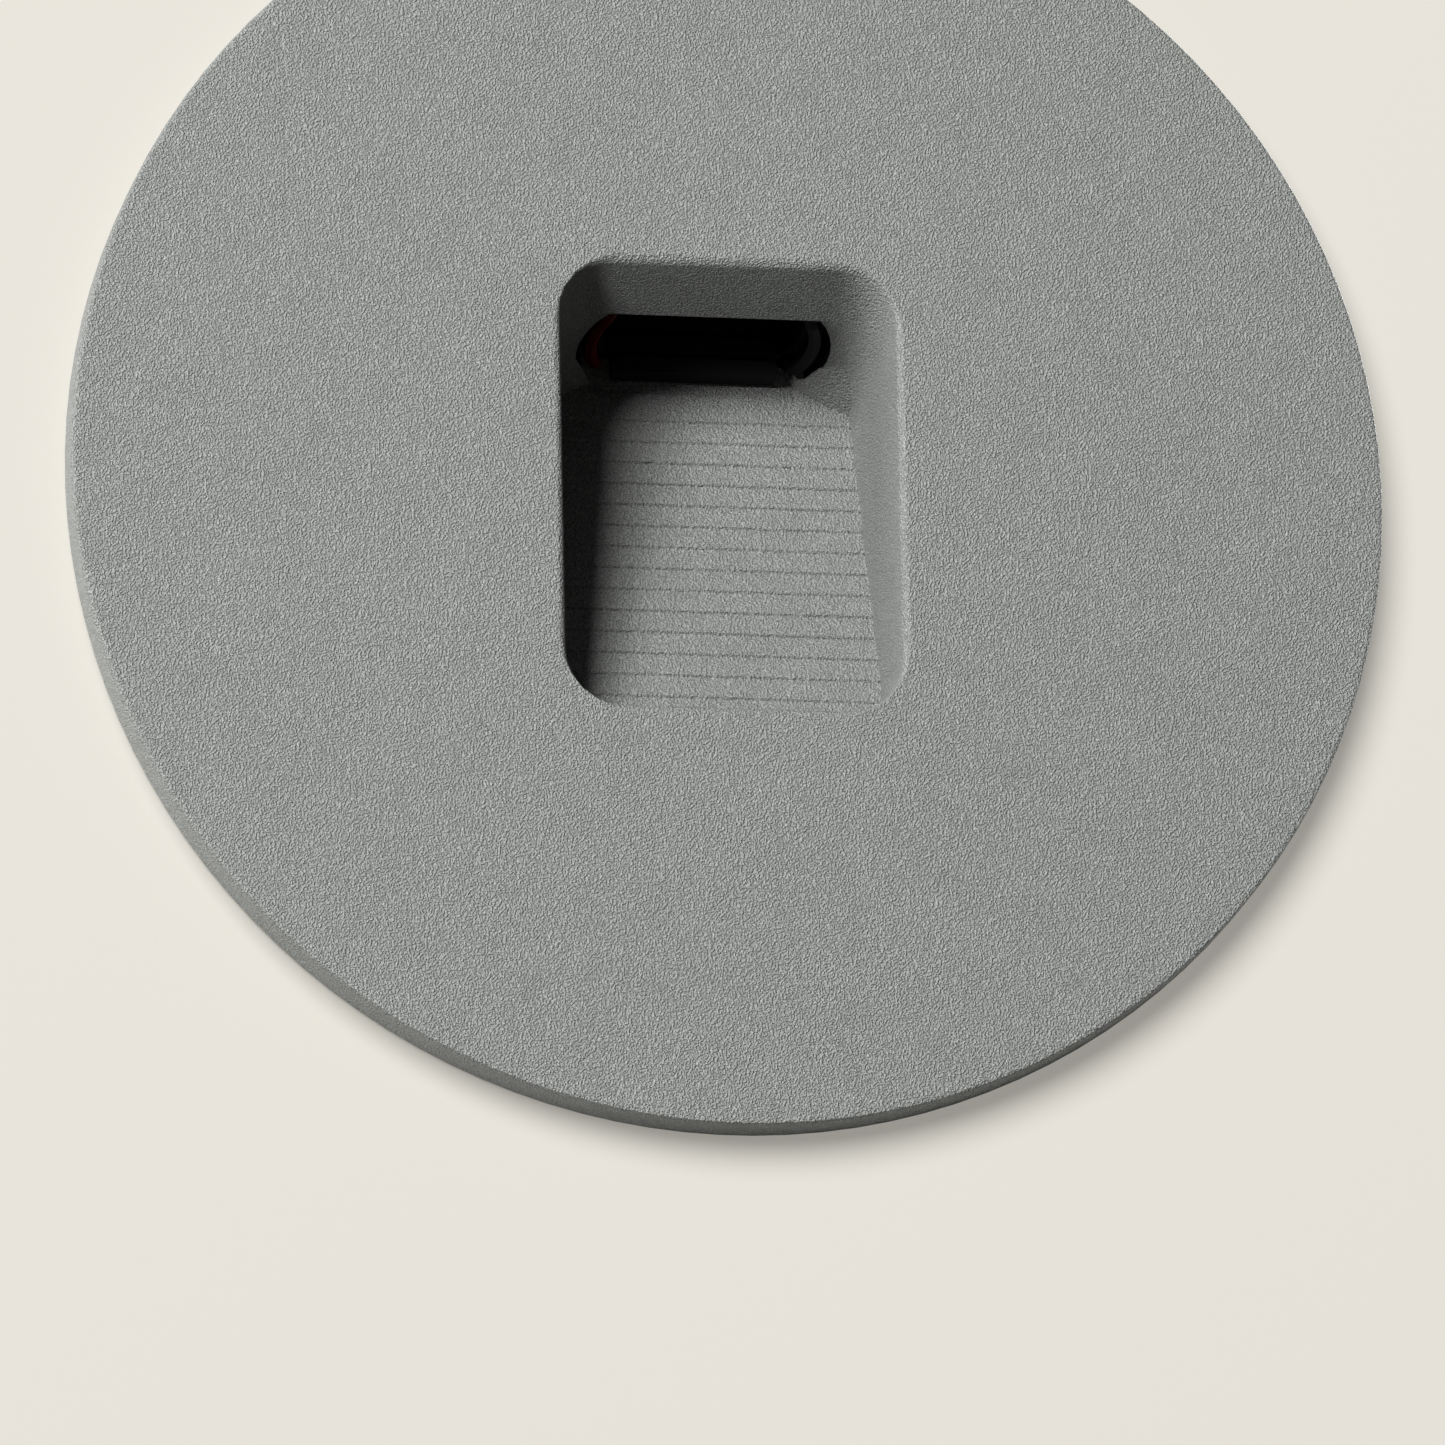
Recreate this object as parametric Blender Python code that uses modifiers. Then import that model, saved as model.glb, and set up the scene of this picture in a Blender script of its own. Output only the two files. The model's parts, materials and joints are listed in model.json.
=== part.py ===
# Recessed wall light: a round cast plate with a light recess, its light engine and driver
# in a finned housing behind the wall, and two sprung clips that hold it in the wall.
#
# The wall's surface is the plane y = 0. The room is at -y, the inside of the wall at +y, up is +z.
import math

import bmesh
import bpy
from mathutils import Matrix, Vector

MM = 0.001

# Gaps and overruns that every piece shares
FIT_GAP = 0.3 * MM
CUT_OVERRUN = 1.0 * MM
ROOT_OVERLAP = 0.8 * MM

# Front plate
PLATE_RADIUS = 50.0 * MM
PLATE_THICKNESS = 4.0 * MM
PLATE_EDGE_RADIUS = 0.4 * MM
PLATE_SEGMENTS = 120

# Recess in the front plate, measured on the front face where its walls would meet it
RECESS_HALF_WIDTH = 12.85 * MM
RECESS_TOP = 16.8 * MM
RECESS_BOTTOM = -17.9 * MM
RECESS_CORNER_RADIUS = 4.2 * MM
RECESS_INNER_CORNER_RADIUS = 2.8 * MM
RECESS_LIP_RADIUS = 0.6 * MM
RECESS_LIP_CORNER_RADIUS = 5.9 * MM
RECESS_SIDE_DRAFT = math.radians(2.9)
RECESS_WALL = 2.0 * MM
LIP_STEPS = 4
CORNER_STEPS = 6

# Ceiling and ribbed slope of the recess, as depths behind the front face
CEILING_FRONT_DEPTH = 5.6 * MM
CEILING_FRONT_DROP = 2.6 * MM
SLOPE_TOP_DEPTH = 16.2 * MM
CEILING_DROP = 2.3 * MM
SLOPE_ANGLE = math.radians(18.6)
RIB_COUNT = 14
RIB_PITCH = 1.844 * MM
RIB_FIRST_DROP = 3.23 * MM
RIB_STEP = 0.12 * MM
RIB_FACE_HEIGHT = 0.2 * MM

# Bore of the light engine, above the ceiling
BORE_RADIUS = 9.7 * MM
BORE_FRONT_MARGIN = 0.1 * MM
BORE_REAR_MARGIN = 0.15 * MM
TOWER_WALL = 2.4 * MM
TOWER_REAR_WALL = 1.8 * MM
TOWER_HEIGHT = 4.8 * MM
BORE_STEPS = 9

# Light engine, stacked upwards from the tower's top
BAFFLE_START = 2.0 * MM
BAFFLE_WALL = 0.5 * MM
BAFFLE_RIB_REACH = 1.1 * MM
BAFFLE_RIB_HEIGHT = 1.3 * MM
BAFFLE_RIB_PITCH = 1.9 * MM
BAFFLE_SKIRT_START = 0.1 * MM
BAFFLE_SKIRT_INSET = 0.1 * MM
BAFFLE_FLANGE_REACH = 0.8 * MM
BAFFLE_FLANGE_THICKNESS = 0.7 * MM
LENS_GASKET_THICKNESS = 0.5 * MM
LENS_GASKET_WIDTH = 0.5 * MM
LENS_THICKNESS = 0.8 * MM
CHIP_SIZE = 2.8 * MM
CHIP_THICKNESS = 0.5 * MM
CHIP_COUNT = 3
CHIP_PITCH = 4.6 * MM
CHIP_EDGE_BEVEL = 0.2 * MM
LED_BOARD_THICKNESS = 0.8 * MM
PAD_THICKNESS = 0.4 * MM
CAP_TOP_THICKNESS = 1.0 * MM
CAP_WALL = 1.0 * MM
CAP_EAR_RADIUS = 2.4 * MM
CAP_EAR_THICKNESS = 1.6 * MM
CAP_EAR_GAP = 0.35 * MM

# Leads from the driver to the light engine
LEAD_RADIUS = 0.55 * MM
LEAD_CLEARANCE = 0.35 * MM
LEAD_TRACK_MARGIN = 0.5 * MM
LEAD_TRACK_HEIGHT = 0.75 * MM
LEAD_ENTRY_HEIGHT = 2.6 * MM
LEAD_TRACK_STEPS = 4
LEAD_BEND = 1.2 * MM
LEAD_BOARD_X = 7.0 * MM
LEAD_BOARD_Z = 15.5 * MM

# Wall gasket in the plate's rear, and where it lies between the housing's ears and the rim
WALL_GASKET_SHARES = (0.2248, 0.6899)
WALL_GASKET_THICKNESS = 0.9 * MM

# Housing
HOUSING_CAP_GAP = 0.667 * MM
HOUSING_WALL = 2.2 * MM
HOUSING_FRONT = 1.0 * MM
HOUSING_WIRING_ROOM = 8.3 * MM
HOUSING_SEGMENTS = 72
HOUSING_SEAL_DEPTH = 0.5 * MM
HOUSING_SEAL_WIDTH = 1.8 * MM
EAR_REACH = 3.6 * MM
EAR_RADIUS = 3.1 * MM
EAR_THICKNESS = 3.0 * MM
EAR_COUNT = 4
EAR_START = math.radians(45)
PLATE_BOSS_HEIGHT = 5.0 * MM
PLATE_BOSS_BLIND = 2.4 * MM

# Cooling fins on the housing
FIN_HEIGHT = 3.2 * MM
FIN_THICKNESS = 1.0 * MM
FIN_FRONT = 12.0 * MM
FIN_REAR_MARGIN = 2.7 * MM
FIN_PITCH = math.radians(7.5)
FIN_EAR_CLEARANCE = math.radians(3)
FIN_CLIP_CLEARANCE = math.radians(21)

# Where the rings that carry fins, ears, posts and lugs lie within the housing's wall
OUTER_RING_SHARES = (0.3, 0.6)
INNER_RING_SHARES = (0.4, 0.75)

# Screws: shank radius, head radius, head height
PLATE_SCREW_SHANK = 1.2 * MM
PLATE_SCREW_HEAD = 2.6 * MM
PLATE_SCREW_HEAD_HEIGHT = 1.8 * MM
SMALL_SCREW_SHANK = 0.9 * MM
SMALL_SCREW_HEAD = 1.8 * MM
SMALL_SCREW_HEAD_HEIGHT = 1.2 * MM
SMALL_SCREW_BITE = 3.4 * MM
SCREW_SEGMENTS = 12
BOSS_SEGMENTS = 16
HEAD_CROWN_SHARE = 0.8
SOCKET_SHARE = 0.5

# Driver board and what stands on it
DRIVER_BOARD_FRONT = 30.0 * MM
DRIVER_BOARD_THICKNESS = 1.6 * MM
DRIVER_BOARD_EDGE_GAP = 0.9 * MM
DRIVER_LUG_COUNT = 3
DRIVER_LUG_START = math.radians(90)
DRIVER_LUG_RADIUS = 2.6 * MM
DRIVER_LUG_WALL_GAP = 1.2 * MM
DRIVER_LUG_LENGTH = 9.0 * MM
TRANSFORMER_X = -11.0 * MM
TRANSFORMER_Z = -3.0 * MM
TRANSFORMER_WIDTH = 13.0 * MM
TRANSFORMER_HEIGHT = 11.0 * MM
TRANSFORMER_DEPTH = 9.0 * MM
TRANSFORMER_WINDOW = 3.4 * MM
TRANSFORMER_LIMB = 2.4 * MM
WINDING_LENGTH = 5.4 * MM
WINDING_CORNER = 1.0 * MM
CAPACITOR_X = 5.5 * MM
CAPACITOR_Z = -12.5 * MM
CAPACITOR_RADIUS = 4.0 * MM
CAPACITOR_LENGTH = 10.5 * MM
CAPACITOR_CRIMP = 0.4 * MM
CHOKE_X = 12.5 * MM
CHOKE_Z = 1.0 * MM
CHOKE_RADIUS = 5.6 * MM
CHOKE_BORE = 2.4 * MM
CHOKE_HEIGHT = 4.6 * MM

# Terminal block on the rear of the driver board
TERMINAL_WIDTH = 17.0 * MM
TERMINAL_HEIGHT = 10.0 * MM
TERMINAL_DEPTH = 5.8 * MM
TERMINAL_Z = -13.0 * MM
TERMINAL_POLES = ("line", "neutral", "earth")
TERMINAL_WIRE_HOLE = 1.3 * MM
TERMINAL_RECESS_DEPTH = 1.5 * MM
LEVER_WIDTH = 4.2 * MM
LEVER_LENGTH = 6.4 * MM
LEVER_THICKNESS = 1.0 * MM
LEVER_EYE_RADIUS = 0.75 * MM
LEVER_RECESS_GAP = 0.35 * MM

# Rear cover and its seal
REAR_SEAL_THICKNESS = 0.8 * MM
REAR_SEAL_MARGIN = 0.4 * MM
REAR_COVER_THICKNESS = 2.6 * MM
REAR_COVER_EDGE_RADIUS = 0.8 * MM
COVER_POST_WALL_GAP = 1.2 * MM
COVER_POST_RADIUS = 3.0 * MM
COVER_POST_LENGTH = 9.7 * MM
COVER_POST_START = math.radians(45)
COVER_POST_COUNT = 4
COVER_PAD_RADIUS = 12.0 * MM
COVER_PAD_HEIGHT = 1.2 * MM

# Cable gland in the rear cover
GLAND_BORE = 3.3 * MM
GLAND_THREAD_RADIUS = 6.0 * MM
GLAND_HEX_RADIUS = 8.6 * MM
GLAND_HEX_LENGTH = 4.0 * MM
GLAND_NECK_LENGTH = 6.5 * MM
GLAND_INNER_LENGTH = 3.6 * MM
GLAND_SEAL_WALL = 1.2 * MM
GLAND_SEAL_LENGTH = 5.0 * MM
GLAND_NUT_RADIUS = 8.2 * MM
GLAND_NUT_LENGTH = 9.0 * MM
GLAND_NUT_MOUTH = 3.9 * MM
GLAND_NUT_DOME = 2.6 * MM
LOCKNUT_THICKNESS = 2.0 * MM
GLAND_SEGMENTS = 24

# Sprung clips at the sides
CLIP_PIVOT_Y = 26.0 * MM
CLIP_PIVOT_HEIGHT = 3.9 * MM
CLIP_PAD_HEIGHT = 0.5 * MM
CLIP_PAD_HALF_HEIGHT = 9.0 * MM
CLIP_PAD_HALF_LENGTH = 7.0 * MM
BRACKET_THICKNESS = 0.8 * MM
BRACKET_PAD_MARGIN = 0.6 * MM
BRACKET_CHEEK_RADIUS = 2.4 * MM
RIVET_INSET = 1.9 * MM
RIVET_HEAD_RADIUS = 1.5 * MM
RIVET_HEAD_HEIGHT = 0.6 * MM
RIVET_SHANK = 0.8 * MM
PIN_RADIUS = 1.0 * MM
PIN_HEAD_RADIUS = 1.6 * MM
PIN_HEAD_LENGTH = 0.6 * MM
SPRING_WIRE_RADIUS = 0.6 * MM
SPRING_COIL_RADIUS = 1.95 * MM
SPRING_TURNS = 3
SPRING_TURN_POINTS = 9
SPRING_TURN_GAP = 0.45 * MM
SPRING_CENTRE_GAP = 1.4 * MM
SPRING_REACH = 11.6 * MM
SPRING_CORNER_RADIUS = 1.6 * MM
WALL_BOARD_THICKNESS = 12.5 * MM
SLEEVE_OUTER = 1.25 * MM
SLEEVE_CLEARANCE = 0.25 * MM
SLEEVE_LENGTH = 9.0 * MM


def front_face_y(depth):
    return depth - PLATE_THICKNESS


def slope_depth(z):
    return SLOPE_TOP_DEPTH - (SLOPE_TOP_Z - z) * math.tan(SLOPE_ANGLE)


# Sizes and places that follow from those above
CEILING_FRONT_Z = RECESS_TOP - CEILING_FRONT_DROP
SLOPE_TOP_Z = CEILING_FRONT_Z - CEILING_DROP
RIB_FIRST_Z = SLOPE_TOP_Z - RIB_FIRST_DROP
CEILING_RUN = SLOPE_TOP_DEPTH - CEILING_FRONT_DEPTH
CEILING_TILT = math.atan2(CEILING_DROP, CEILING_RUN)
CEILING_LENGTH = math.hypot(CEILING_RUN, CEILING_DROP)
BORE_FLAT = CEILING_LENGTH / 2 - BORE_FRONT_MARGIN
BORE_REAR_FLAT = CEILING_LENGTH / 2 + BORE_REAR_MARGIN
ENGINE_ORIGIN = Vector((
    0,
    front_face_y(CEILING_FRONT_DEPTH + CEILING_RUN / 2),
    CEILING_FRONT_Z - CEILING_DROP / 2,
))
ENGINE_MATRIX = Matrix.Translation(ENGINE_ORIGIN) @ Matrix.Rotation(-CEILING_TILT, 4, "X")

# Heights above the ceiling, in the light engine's own frame
FLANGE_LOW = TOWER_HEIGHT + FIT_GAP
FLANGE_HIGH = FLANGE_LOW + BAFFLE_FLANGE_THICKNESS
LENS_GASKET_LOW = FLANGE_HIGH + FIT_GAP
LENS_LOW = LENS_GASKET_LOW + LENS_GASKET_THICKNESS + FIT_GAP
LENS_HIGH = LENS_LOW + LENS_THICKNESS
CHIP_LOW = LENS_HIGH + FIT_GAP
LED_BOARD_LOW = CHIP_LOW + CHIP_THICKNESS + FIT_GAP
PAD_LOW = LED_BOARD_LOW + LED_BOARD_THICKNESS + FIT_GAP
CAP_CEILING = PAD_LOW + PAD_THICKNESS + FIT_GAP
CAP_TOP = CAP_CEILING + CAP_TOP_THICKNESS
CAP_REACH = BAFFLE_FLANGE_REACH + FIT_GAP + CAP_WALL
CAP_EAR_X = BORE_RADIUS + CAP_REACH + SMALL_SCREW_HEAD + CAP_EAR_GAP

# The cap's upper front corner lies furthest out, and the housing clears it
CAP_CORNER_X = math.sqrt((BORE_RADIUS + CAP_REACH) ** 2 - (BORE_FLAT + CAP_REACH) ** 2)
CAP_CORNER = ENGINE_MATRIX @ Vector((CAP_CORNER_X, -BORE_FLAT - CAP_REACH, CAP_TOP))
HOUSING_RADIUS = math.hypot(CAP_CORNER.x, CAP_CORNER.z) + HOUSING_CAP_GAP + HOUSING_WALL
HOUSING_BORE = HOUSING_RADIUS - HOUSING_WALL

# Outwards from the housing to the plate's rim
FIN_RADIUS = HOUSING_RADIUS + FIN_HEIGHT
EAR_CIRCLE_RADIUS = HOUSING_RADIUS + EAR_REACH
EAR_OUTSIDE = EAR_CIRCLE_RADIUS + EAR_RADIUS
WALL_GASKET_INNER, WALL_GASKET_OUTER = (
    EAR_OUTSIDE + (PLATE_RADIUS - EAR_OUTSIDE) * share for share in WALL_GASKET_SHARES
)
CLIP_PAD_X = HOUSING_RADIUS + CLIP_PAD_HEIGHT
CLIP_PIVOT_X = CLIP_PAD_X + CLIP_PIVOT_HEIGHT
SPRING_TIP_X = CLIP_PIVOT_X + SPRING_REACH

# Inwards from the housing's bore
COVER_POST_CIRCLE = HOUSING_BORE - COVER_POST_WALL_GAP - COVER_POST_RADIUS
DRIVER_LUG_CIRCLE = HOUSING_BORE - DRIVER_LUG_WALL_GAP - DRIVER_LUG_RADIUS

# Rearwards from the driver board
DRIVER_BOARD_REAR = DRIVER_BOARD_FRONT + DRIVER_BOARD_THICKNESS
HOUSING_REAR = DRIVER_BOARD_REAR + TERMINAL_DEPTH + HOUSING_WIRING_ROOM
FIN_REAR = HOUSING_REAR - FIN_REAR_MARGIN
COVER_POST_FRONT = HOUSING_REAR - COVER_POST_LENGTH
CLIP_PAD_FRONT = CLIP_PIVOT_Y - CLIP_PAD_HALF_LENGTH
CLIP_PAD_REAR = CLIP_PIVOT_Y + CLIP_PAD_HALF_LENGTH
BRACKET_FRONT = CLIP_PAD_FRONT + BRACKET_PAD_MARGIN
BRACKET_REAR = CLIP_PAD_REAR - BRACKET_PAD_MARGIN
BRACKET_HALF_HEIGHT = CLIP_PAD_HALF_HEIGHT
REAR_COVER_FRONT = HOUSING_REAR + REAR_SEAL_THICKNESS + FIT_GAP + FIT_GAP
REAR_COVER_REAR = REAR_COVER_FRONT + REAR_COVER_THICKNESS

FACES = {
    "XY": Matrix.Identity(4),
    "XZ": Matrix.Rotation(math.radians(90), 4, "X"),
    "YZ": Matrix.Rotation(math.radians(90), 4, "Z") @ Matrix.Rotation(math.radians(90), 4, "X"),
}
FACE_SIGN = {"XY": 1, "XZ": -1, "YZ": 1}


def clear_scene():
    for item in list(bpy.data.objects):
        bpy.data.objects.remove(item)


def new_collection(name):
    group = bpy.data.collections.new(name)
    bpy.context.scene.collection.children.link(group)
    return group


def new_material(name, colour, roughness, metallic=0.0, alpha=1.0):
    material = bpy.data.materials.new(name)
    material.use_nodes = True
    shader = material.node_tree.nodes["Principled BSDF"]
    shader.inputs["Base Color"].default_value = (*colour, 1.0)
    shader.inputs["Roughness"].default_value = roughness
    shader.inputs["Metallic"].default_value = metallic
    shader.inputs["Alpha"].default_value = alpha
    return material


clear_scene()
PARTS = new_collection("recessed_wall_light")
CUTTERS = new_collection("cutters")

MATERIALS = {
    "powder_coat": new_material("powder_coat", (0.29, 0.30, 0.285), 0.75),
    "cast_aluminium": new_material("cast_aluminium", (0.55, 0.56, 0.57), 0.45, 0.9),
    "black_plastic": new_material("black_plastic", (0.02, 0.02, 0.02), 0.55),
    "clear_lens": new_material("clear_lens", (0.9, 0.92, 0.93), 0.1, 0.0, 0.35),
    "black_rubber": new_material("black_rubber", (0.03, 0.03, 0.03), 0.85),
    "grey_foam": new_material("grey_foam", (0.10, 0.10, 0.10), 0.95),
    "white_board": new_material("white_board", (0.80, 0.80, 0.78), 0.5),
    "green_board": new_material("green_board", (0.03, 0.16, 0.07), 0.45),
    "yellow_phosphor": new_material("yellow_phosphor", (0.85, 0.65, 0.15), 0.5),
    "grey_pad": new_material("grey_pad", (0.45, 0.47, 0.50), 0.9),
    "red_sheath": new_material("red_sheath", (0.55, 0.03, 0.02), 0.45),
    "black_sheath": new_material("black_sheath", (0.02, 0.02, 0.02), 0.45),
    "ferrite": new_material("ferrite", (0.06, 0.06, 0.065), 0.7),
    "winding_tape": new_material("winding_tape", (0.75, 0.55, 0.10), 0.5),
    "copper_wire": new_material("copper_wire", (0.70, 0.30, 0.15), 0.35, 0.9),
    "capacitor_sleeve": new_material("capacitor_sleeve", (0.03, 0.04, 0.10), 0.35),
    "terminal_plastic": new_material("terminal_plastic", (0.55, 0.56, 0.57), 0.45),
    "orange_plastic": new_material("orange_plastic", (0.80, 0.25, 0.03), 0.45),
    "zinc_steel": new_material("zinc_steel", (0.60, 0.61, 0.63), 0.35, 1.0),
    "spring_steel": new_material("spring_steel", (0.50, 0.50, 0.50), 0.3, 1.0),
    "gland_plastic": new_material("gland_plastic", (0.06, 0.06, 0.06), 0.5),
}


def add_object(name, data, material, group=None):
    thing = bpy.data.objects.new(name, data)
    (group or PARTS).objects.link(thing)
    if material:
        data.materials.append(MATERIALS[material])
    return thing


def as_cutter(thing):
    """A cutter stays in its own collection, shown as a wire and kept out of the model."""
    for group in list(thing.users_collection):
        group.objects.unlink(thing)
    CUTTERS.objects.link(thing)
    thing.hide_render = True
    thing.display_type = "WIRE"
    return thing


def place(thing, matrix):
    thing.matrix_world = matrix
    return thing


def smooth(mesh):
    mesh.shade_smooth()
    mesh.set_sharp_from_angle(angle=math.radians(35))


def turned(name, profile, material, segments, axis="Y", ring=False):
    """A profile of (radius, height) points, listed down its outer side, turned round an axis."""
    corners = {
        "X": lambda radius, height: (height, radius, 0),
        "Y": lambda radius, height: (radius, height, 0),
        "Z": lambda radius, height: (radius, 0, height),
    }[axis]
    shape = bmesh.new()
    points = [shape.verts.new(corners(radius, height)) for radius, height in profile]
    for first, second in zip(points, points[1:]):
        shape.edges.new((first, second))
    if ring:
        shape.edges.new((points[-1], points[0]))
    mesh = bpy.data.meshes.new(name)
    shape.to_mesh(mesh)
    shape.free()
    thing = add_object(name, mesh, material)
    turn = thing.modifiers.new("turn", "SCREW")
    turn.axis = axis
    turn.steps = segments
    turn.render_steps = segments
    turn.use_merge_vertices = True
    turn.merge_threshold = 0.00001
    return thing


def tube_ring(name, inner, outer, low, high, material, segments, axis="Y"):
    profile = [(inner, high), (outer, high), (outer, low), (inner, low)]
    return turned(name, profile, material, segments, axis, ring=True)


def prism(name, outline, low, high, material, face="XY", holes=()):
    """A flat outline, filled and extruded from low to high square to its face."""
    curve = bpy.data.curves.new(name, "CURVE")
    curve.dimensions = "2D"
    curve.fill_mode = "BOTH"
    curve.extrude = (high - low) / 2
    for loop in (outline, *holes):
        spline = curve.splines.new("POLY")
        spline.points.add(len(loop) - 1)
        for point, (u, v) in zip(spline.points, loop):
            point.co = (u, v, 0, 1)
        spline.use_cyclic_u = True
    flat = add_object(name, curve, material)
    solid = to_mesh(flat)
    middle = Matrix.Translation((0, 0, FACE_SIGN[face] * (high + low) / 2))
    solid.data.transform(FACES[face] @ middle)
    return solid


def to_mesh(flat):
    """Turns a curve object into a closed mesh object of the same name and place."""
    bpy.context.view_layer.update()
    graph = bpy.context.evaluated_depsgraph_get()
    mesh = bpy.data.meshes.new_from_object(flat.evaluated_get(graph))
    shape = bmesh.new()
    shape.from_mesh(mesh)
    bmesh.ops.remove_doubles(shape, verts=shape.verts, dist=0.000001)
    bmesh.ops.recalc_face_normals(shape, faces=shape.faces)
    shape.to_mesh(mesh)
    shape.free()
    name = flat.name
    matrix = flat.matrix_world.copy()
    curve = flat.data
    bpy.data.objects.remove(flat)
    bpy.data.curves.remove(curve)
    solid = bpy.data.objects.new(name, mesh)
    solid.matrix_world = matrix
    PARTS.objects.link(solid)
    return solid


def box(name, low, high, material, bevel=0.0):
    shape = bmesh.new()
    bmesh.ops.create_cube(shape, size=1.0)
    low, high = Vector(low), Vector(high)
    bmesh.ops.scale(shape, verts=shape.verts, vec=high - low)
    bmesh.ops.translate(shape, verts=shape.verts, vec=(high + low) / 2)
    mesh = bpy.data.meshes.new(name)
    shape.to_mesh(mesh)
    shape.free()
    thing = add_object(name, mesh, material)
    if bevel:
        edge = thing.modifiers.new("edges", "BEVEL")
        edge.width = bevel
        edge.segments = 2
    return thing


def cylinder(name, radius, low, high, material, segments, axis="Y"):
    """A cylinder on an axis through the origin, from low to high along it."""
    shape = bmesh.new()
    bmesh.ops.create_cone(
        shape, cap_ends=True, segments=segments,
        radius1=radius, radius2=radius, depth=high - low,
    )
    bmesh.ops.translate(shape, verts=shape.verts, vec=(0, 0, (high + low) / 2))
    turn = {"X": ("Y", 90), "Y": ("X", -90), "Z": ("Z", 0)}[axis]
    half_step = Matrix.Rotation(math.pi / segments, 4, "Z")
    matrix = Matrix.Rotation(math.radians(turn[1]), 4, turn[0]) @ half_step
    bmesh.ops.transform(shape, matrix=matrix, verts=shape.verts)
    mesh = bpy.data.meshes.new(name)
    shape.to_mesh(mesh)
    shape.free()
    return add_object(name, mesh, material)


def wire(name, points, radius, material, resolution=1):
    """A round wire through points, with filled ends."""
    curve = bpy.data.curves.new(name, "CURVE")
    curve.dimensions = "3D"
    curve.bevel_depth = radius
    curve.bevel_resolution = resolution
    curve.use_fill_caps = True
    spline = curve.splines.new("POLY")
    spline.points.add(len(points) - 1)
    for point, place_at in zip(spline.points, points):
        point.co = (*place_at, 1)
    return add_object(name, curve, material)


def boolean(thing, tool, operation):
    step = thing.modifiers.new(operation.lower(), "BOOLEAN")
    step.operation = operation
    step.solver = "EXACT"
    step.object = as_cutter(tool)


def cut(thing, *tools):
    for tool in tools:
        boolean(thing, tool, "DIFFERENCE")


def join(thing, *tools):
    for tool in tools:
        boolean(thing, tool, "UNION")


def arc(centre, radius, start, end, steps):
    """Points of an arc from start to end, both in radians."""
    return [
        (
            centre[0] + radius * math.cos(start + (end - start) * step / steps),
            centre[1] + radius * math.sin(start + (end - start) * step / steps),
        )
        for step in range(steps + 1)
    ]


def rounded_rectangle(half_width, top, bottom, radius, steps):
    centres = (
        (half_width - radius, top - radius),
        (radius - half_width, top - radius),
        (radius - half_width, bottom + radius),
        (half_width - radius, bottom + radius),
    )
    outline = []
    for quarter, centre in enumerate(centres):
        start = quarter * math.pi / 2
        outline += arc(centre, radius, start, start + math.pi / 2, steps)
    return outline


def double_d(radius, front, rear, steps):
    """A circle cut by two flats square to the second axis, at -front and at rear."""
    front_angle = math.asin(front / radius)
    rear_angle = math.asin(rear / radius)
    right = arc((0, 0), radius, -front_angle, rear_angle, steps)
    left = arc((0, 0), radius, math.pi - rear_angle, math.pi + front_angle, steps)
    return right + left


def capsule(start, end, radius, steps):
    """A slot shape whose round ends are centred on two points."""
    (x0, y0), (x1, y1) = start, end
    heading = math.atan2(y1 - y0, x1 - x0)
    near = arc(start, radius, heading + math.pi / 2, heading + 3 * math.pi / 2, steps)
    far = arc(end, radius, heading - math.pi / 2, heading + math.pi / 2, steps)
    return near + far


def on_circle(radius, angle):
    return radius * math.cos(angle), radius * math.sin(angle)


def even_angles(count, start):
    return [start + index * math.tau / count for index in range(count)]


def loft(name, sections):
    """Joins outlines in the XZ plane, each with its own y, into one closed solid."""
    shape = bmesh.new()
    loops = []
    rings = []
    for outline, y in sections:
        ring = [shape.verts.new((x, y, z)) for x, z in outline]
        edges = [shape.edges.new((a, b)) for a, b in zip(ring, ring[1:] + ring[:1])]
        rings.append(ring)
        loops.append(edges)
    for near, far in zip(loops, loops[1:]):
        bmesh.ops.bridge_loops(shape, edges=near + far)
    shape.faces.new(rings[0])
    shape.faces.new(rings[-1])
    bmesh.ops.recalc_face_normals(shape, faces=shape.faces)
    mesh = bpy.data.meshes.new(name)
    shape.to_mesh(mesh)
    shape.free()
    return add_object(name, mesh, None)


# Front plate

def recess_section(depth, offset=0.0):
    """The recess's outline at a depth, widened by the lip's offset, which also rounds its corners."""
    narrowing = depth * math.tan(RECESS_SIDE_DRAFT)
    share = min(max(depth, 0) / SLOPE_TOP_DEPTH, 1)
    if depth < CEILING_FRONT_DEPTH:
        top = RECESS_TOP - (RECESS_TOP - CEILING_FRONT_Z) * max(depth, 0) / CEILING_FRONT_DEPTH
    else:
        top = CEILING_FRONT_Z - (depth - CEILING_FRONT_DEPTH) * math.tan(CEILING_TILT)
    radius = RECESS_CORNER_RADIUS + (RECESS_INNER_CORNER_RADIUS - RECESS_CORNER_RADIUS) * share
    radius += (RECESS_LIP_CORNER_RADIUS - RECESS_CORNER_RADIUS) * offset / RECESS_LIP_RADIUS
    return rounded_rectangle(
        RECESS_HALF_WIDTH - narrowing + offset,
        top + offset,
        RECESS_BOTTOM + narrowing - offset,
        radius,
        CORNER_STEPS,
    )


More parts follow.
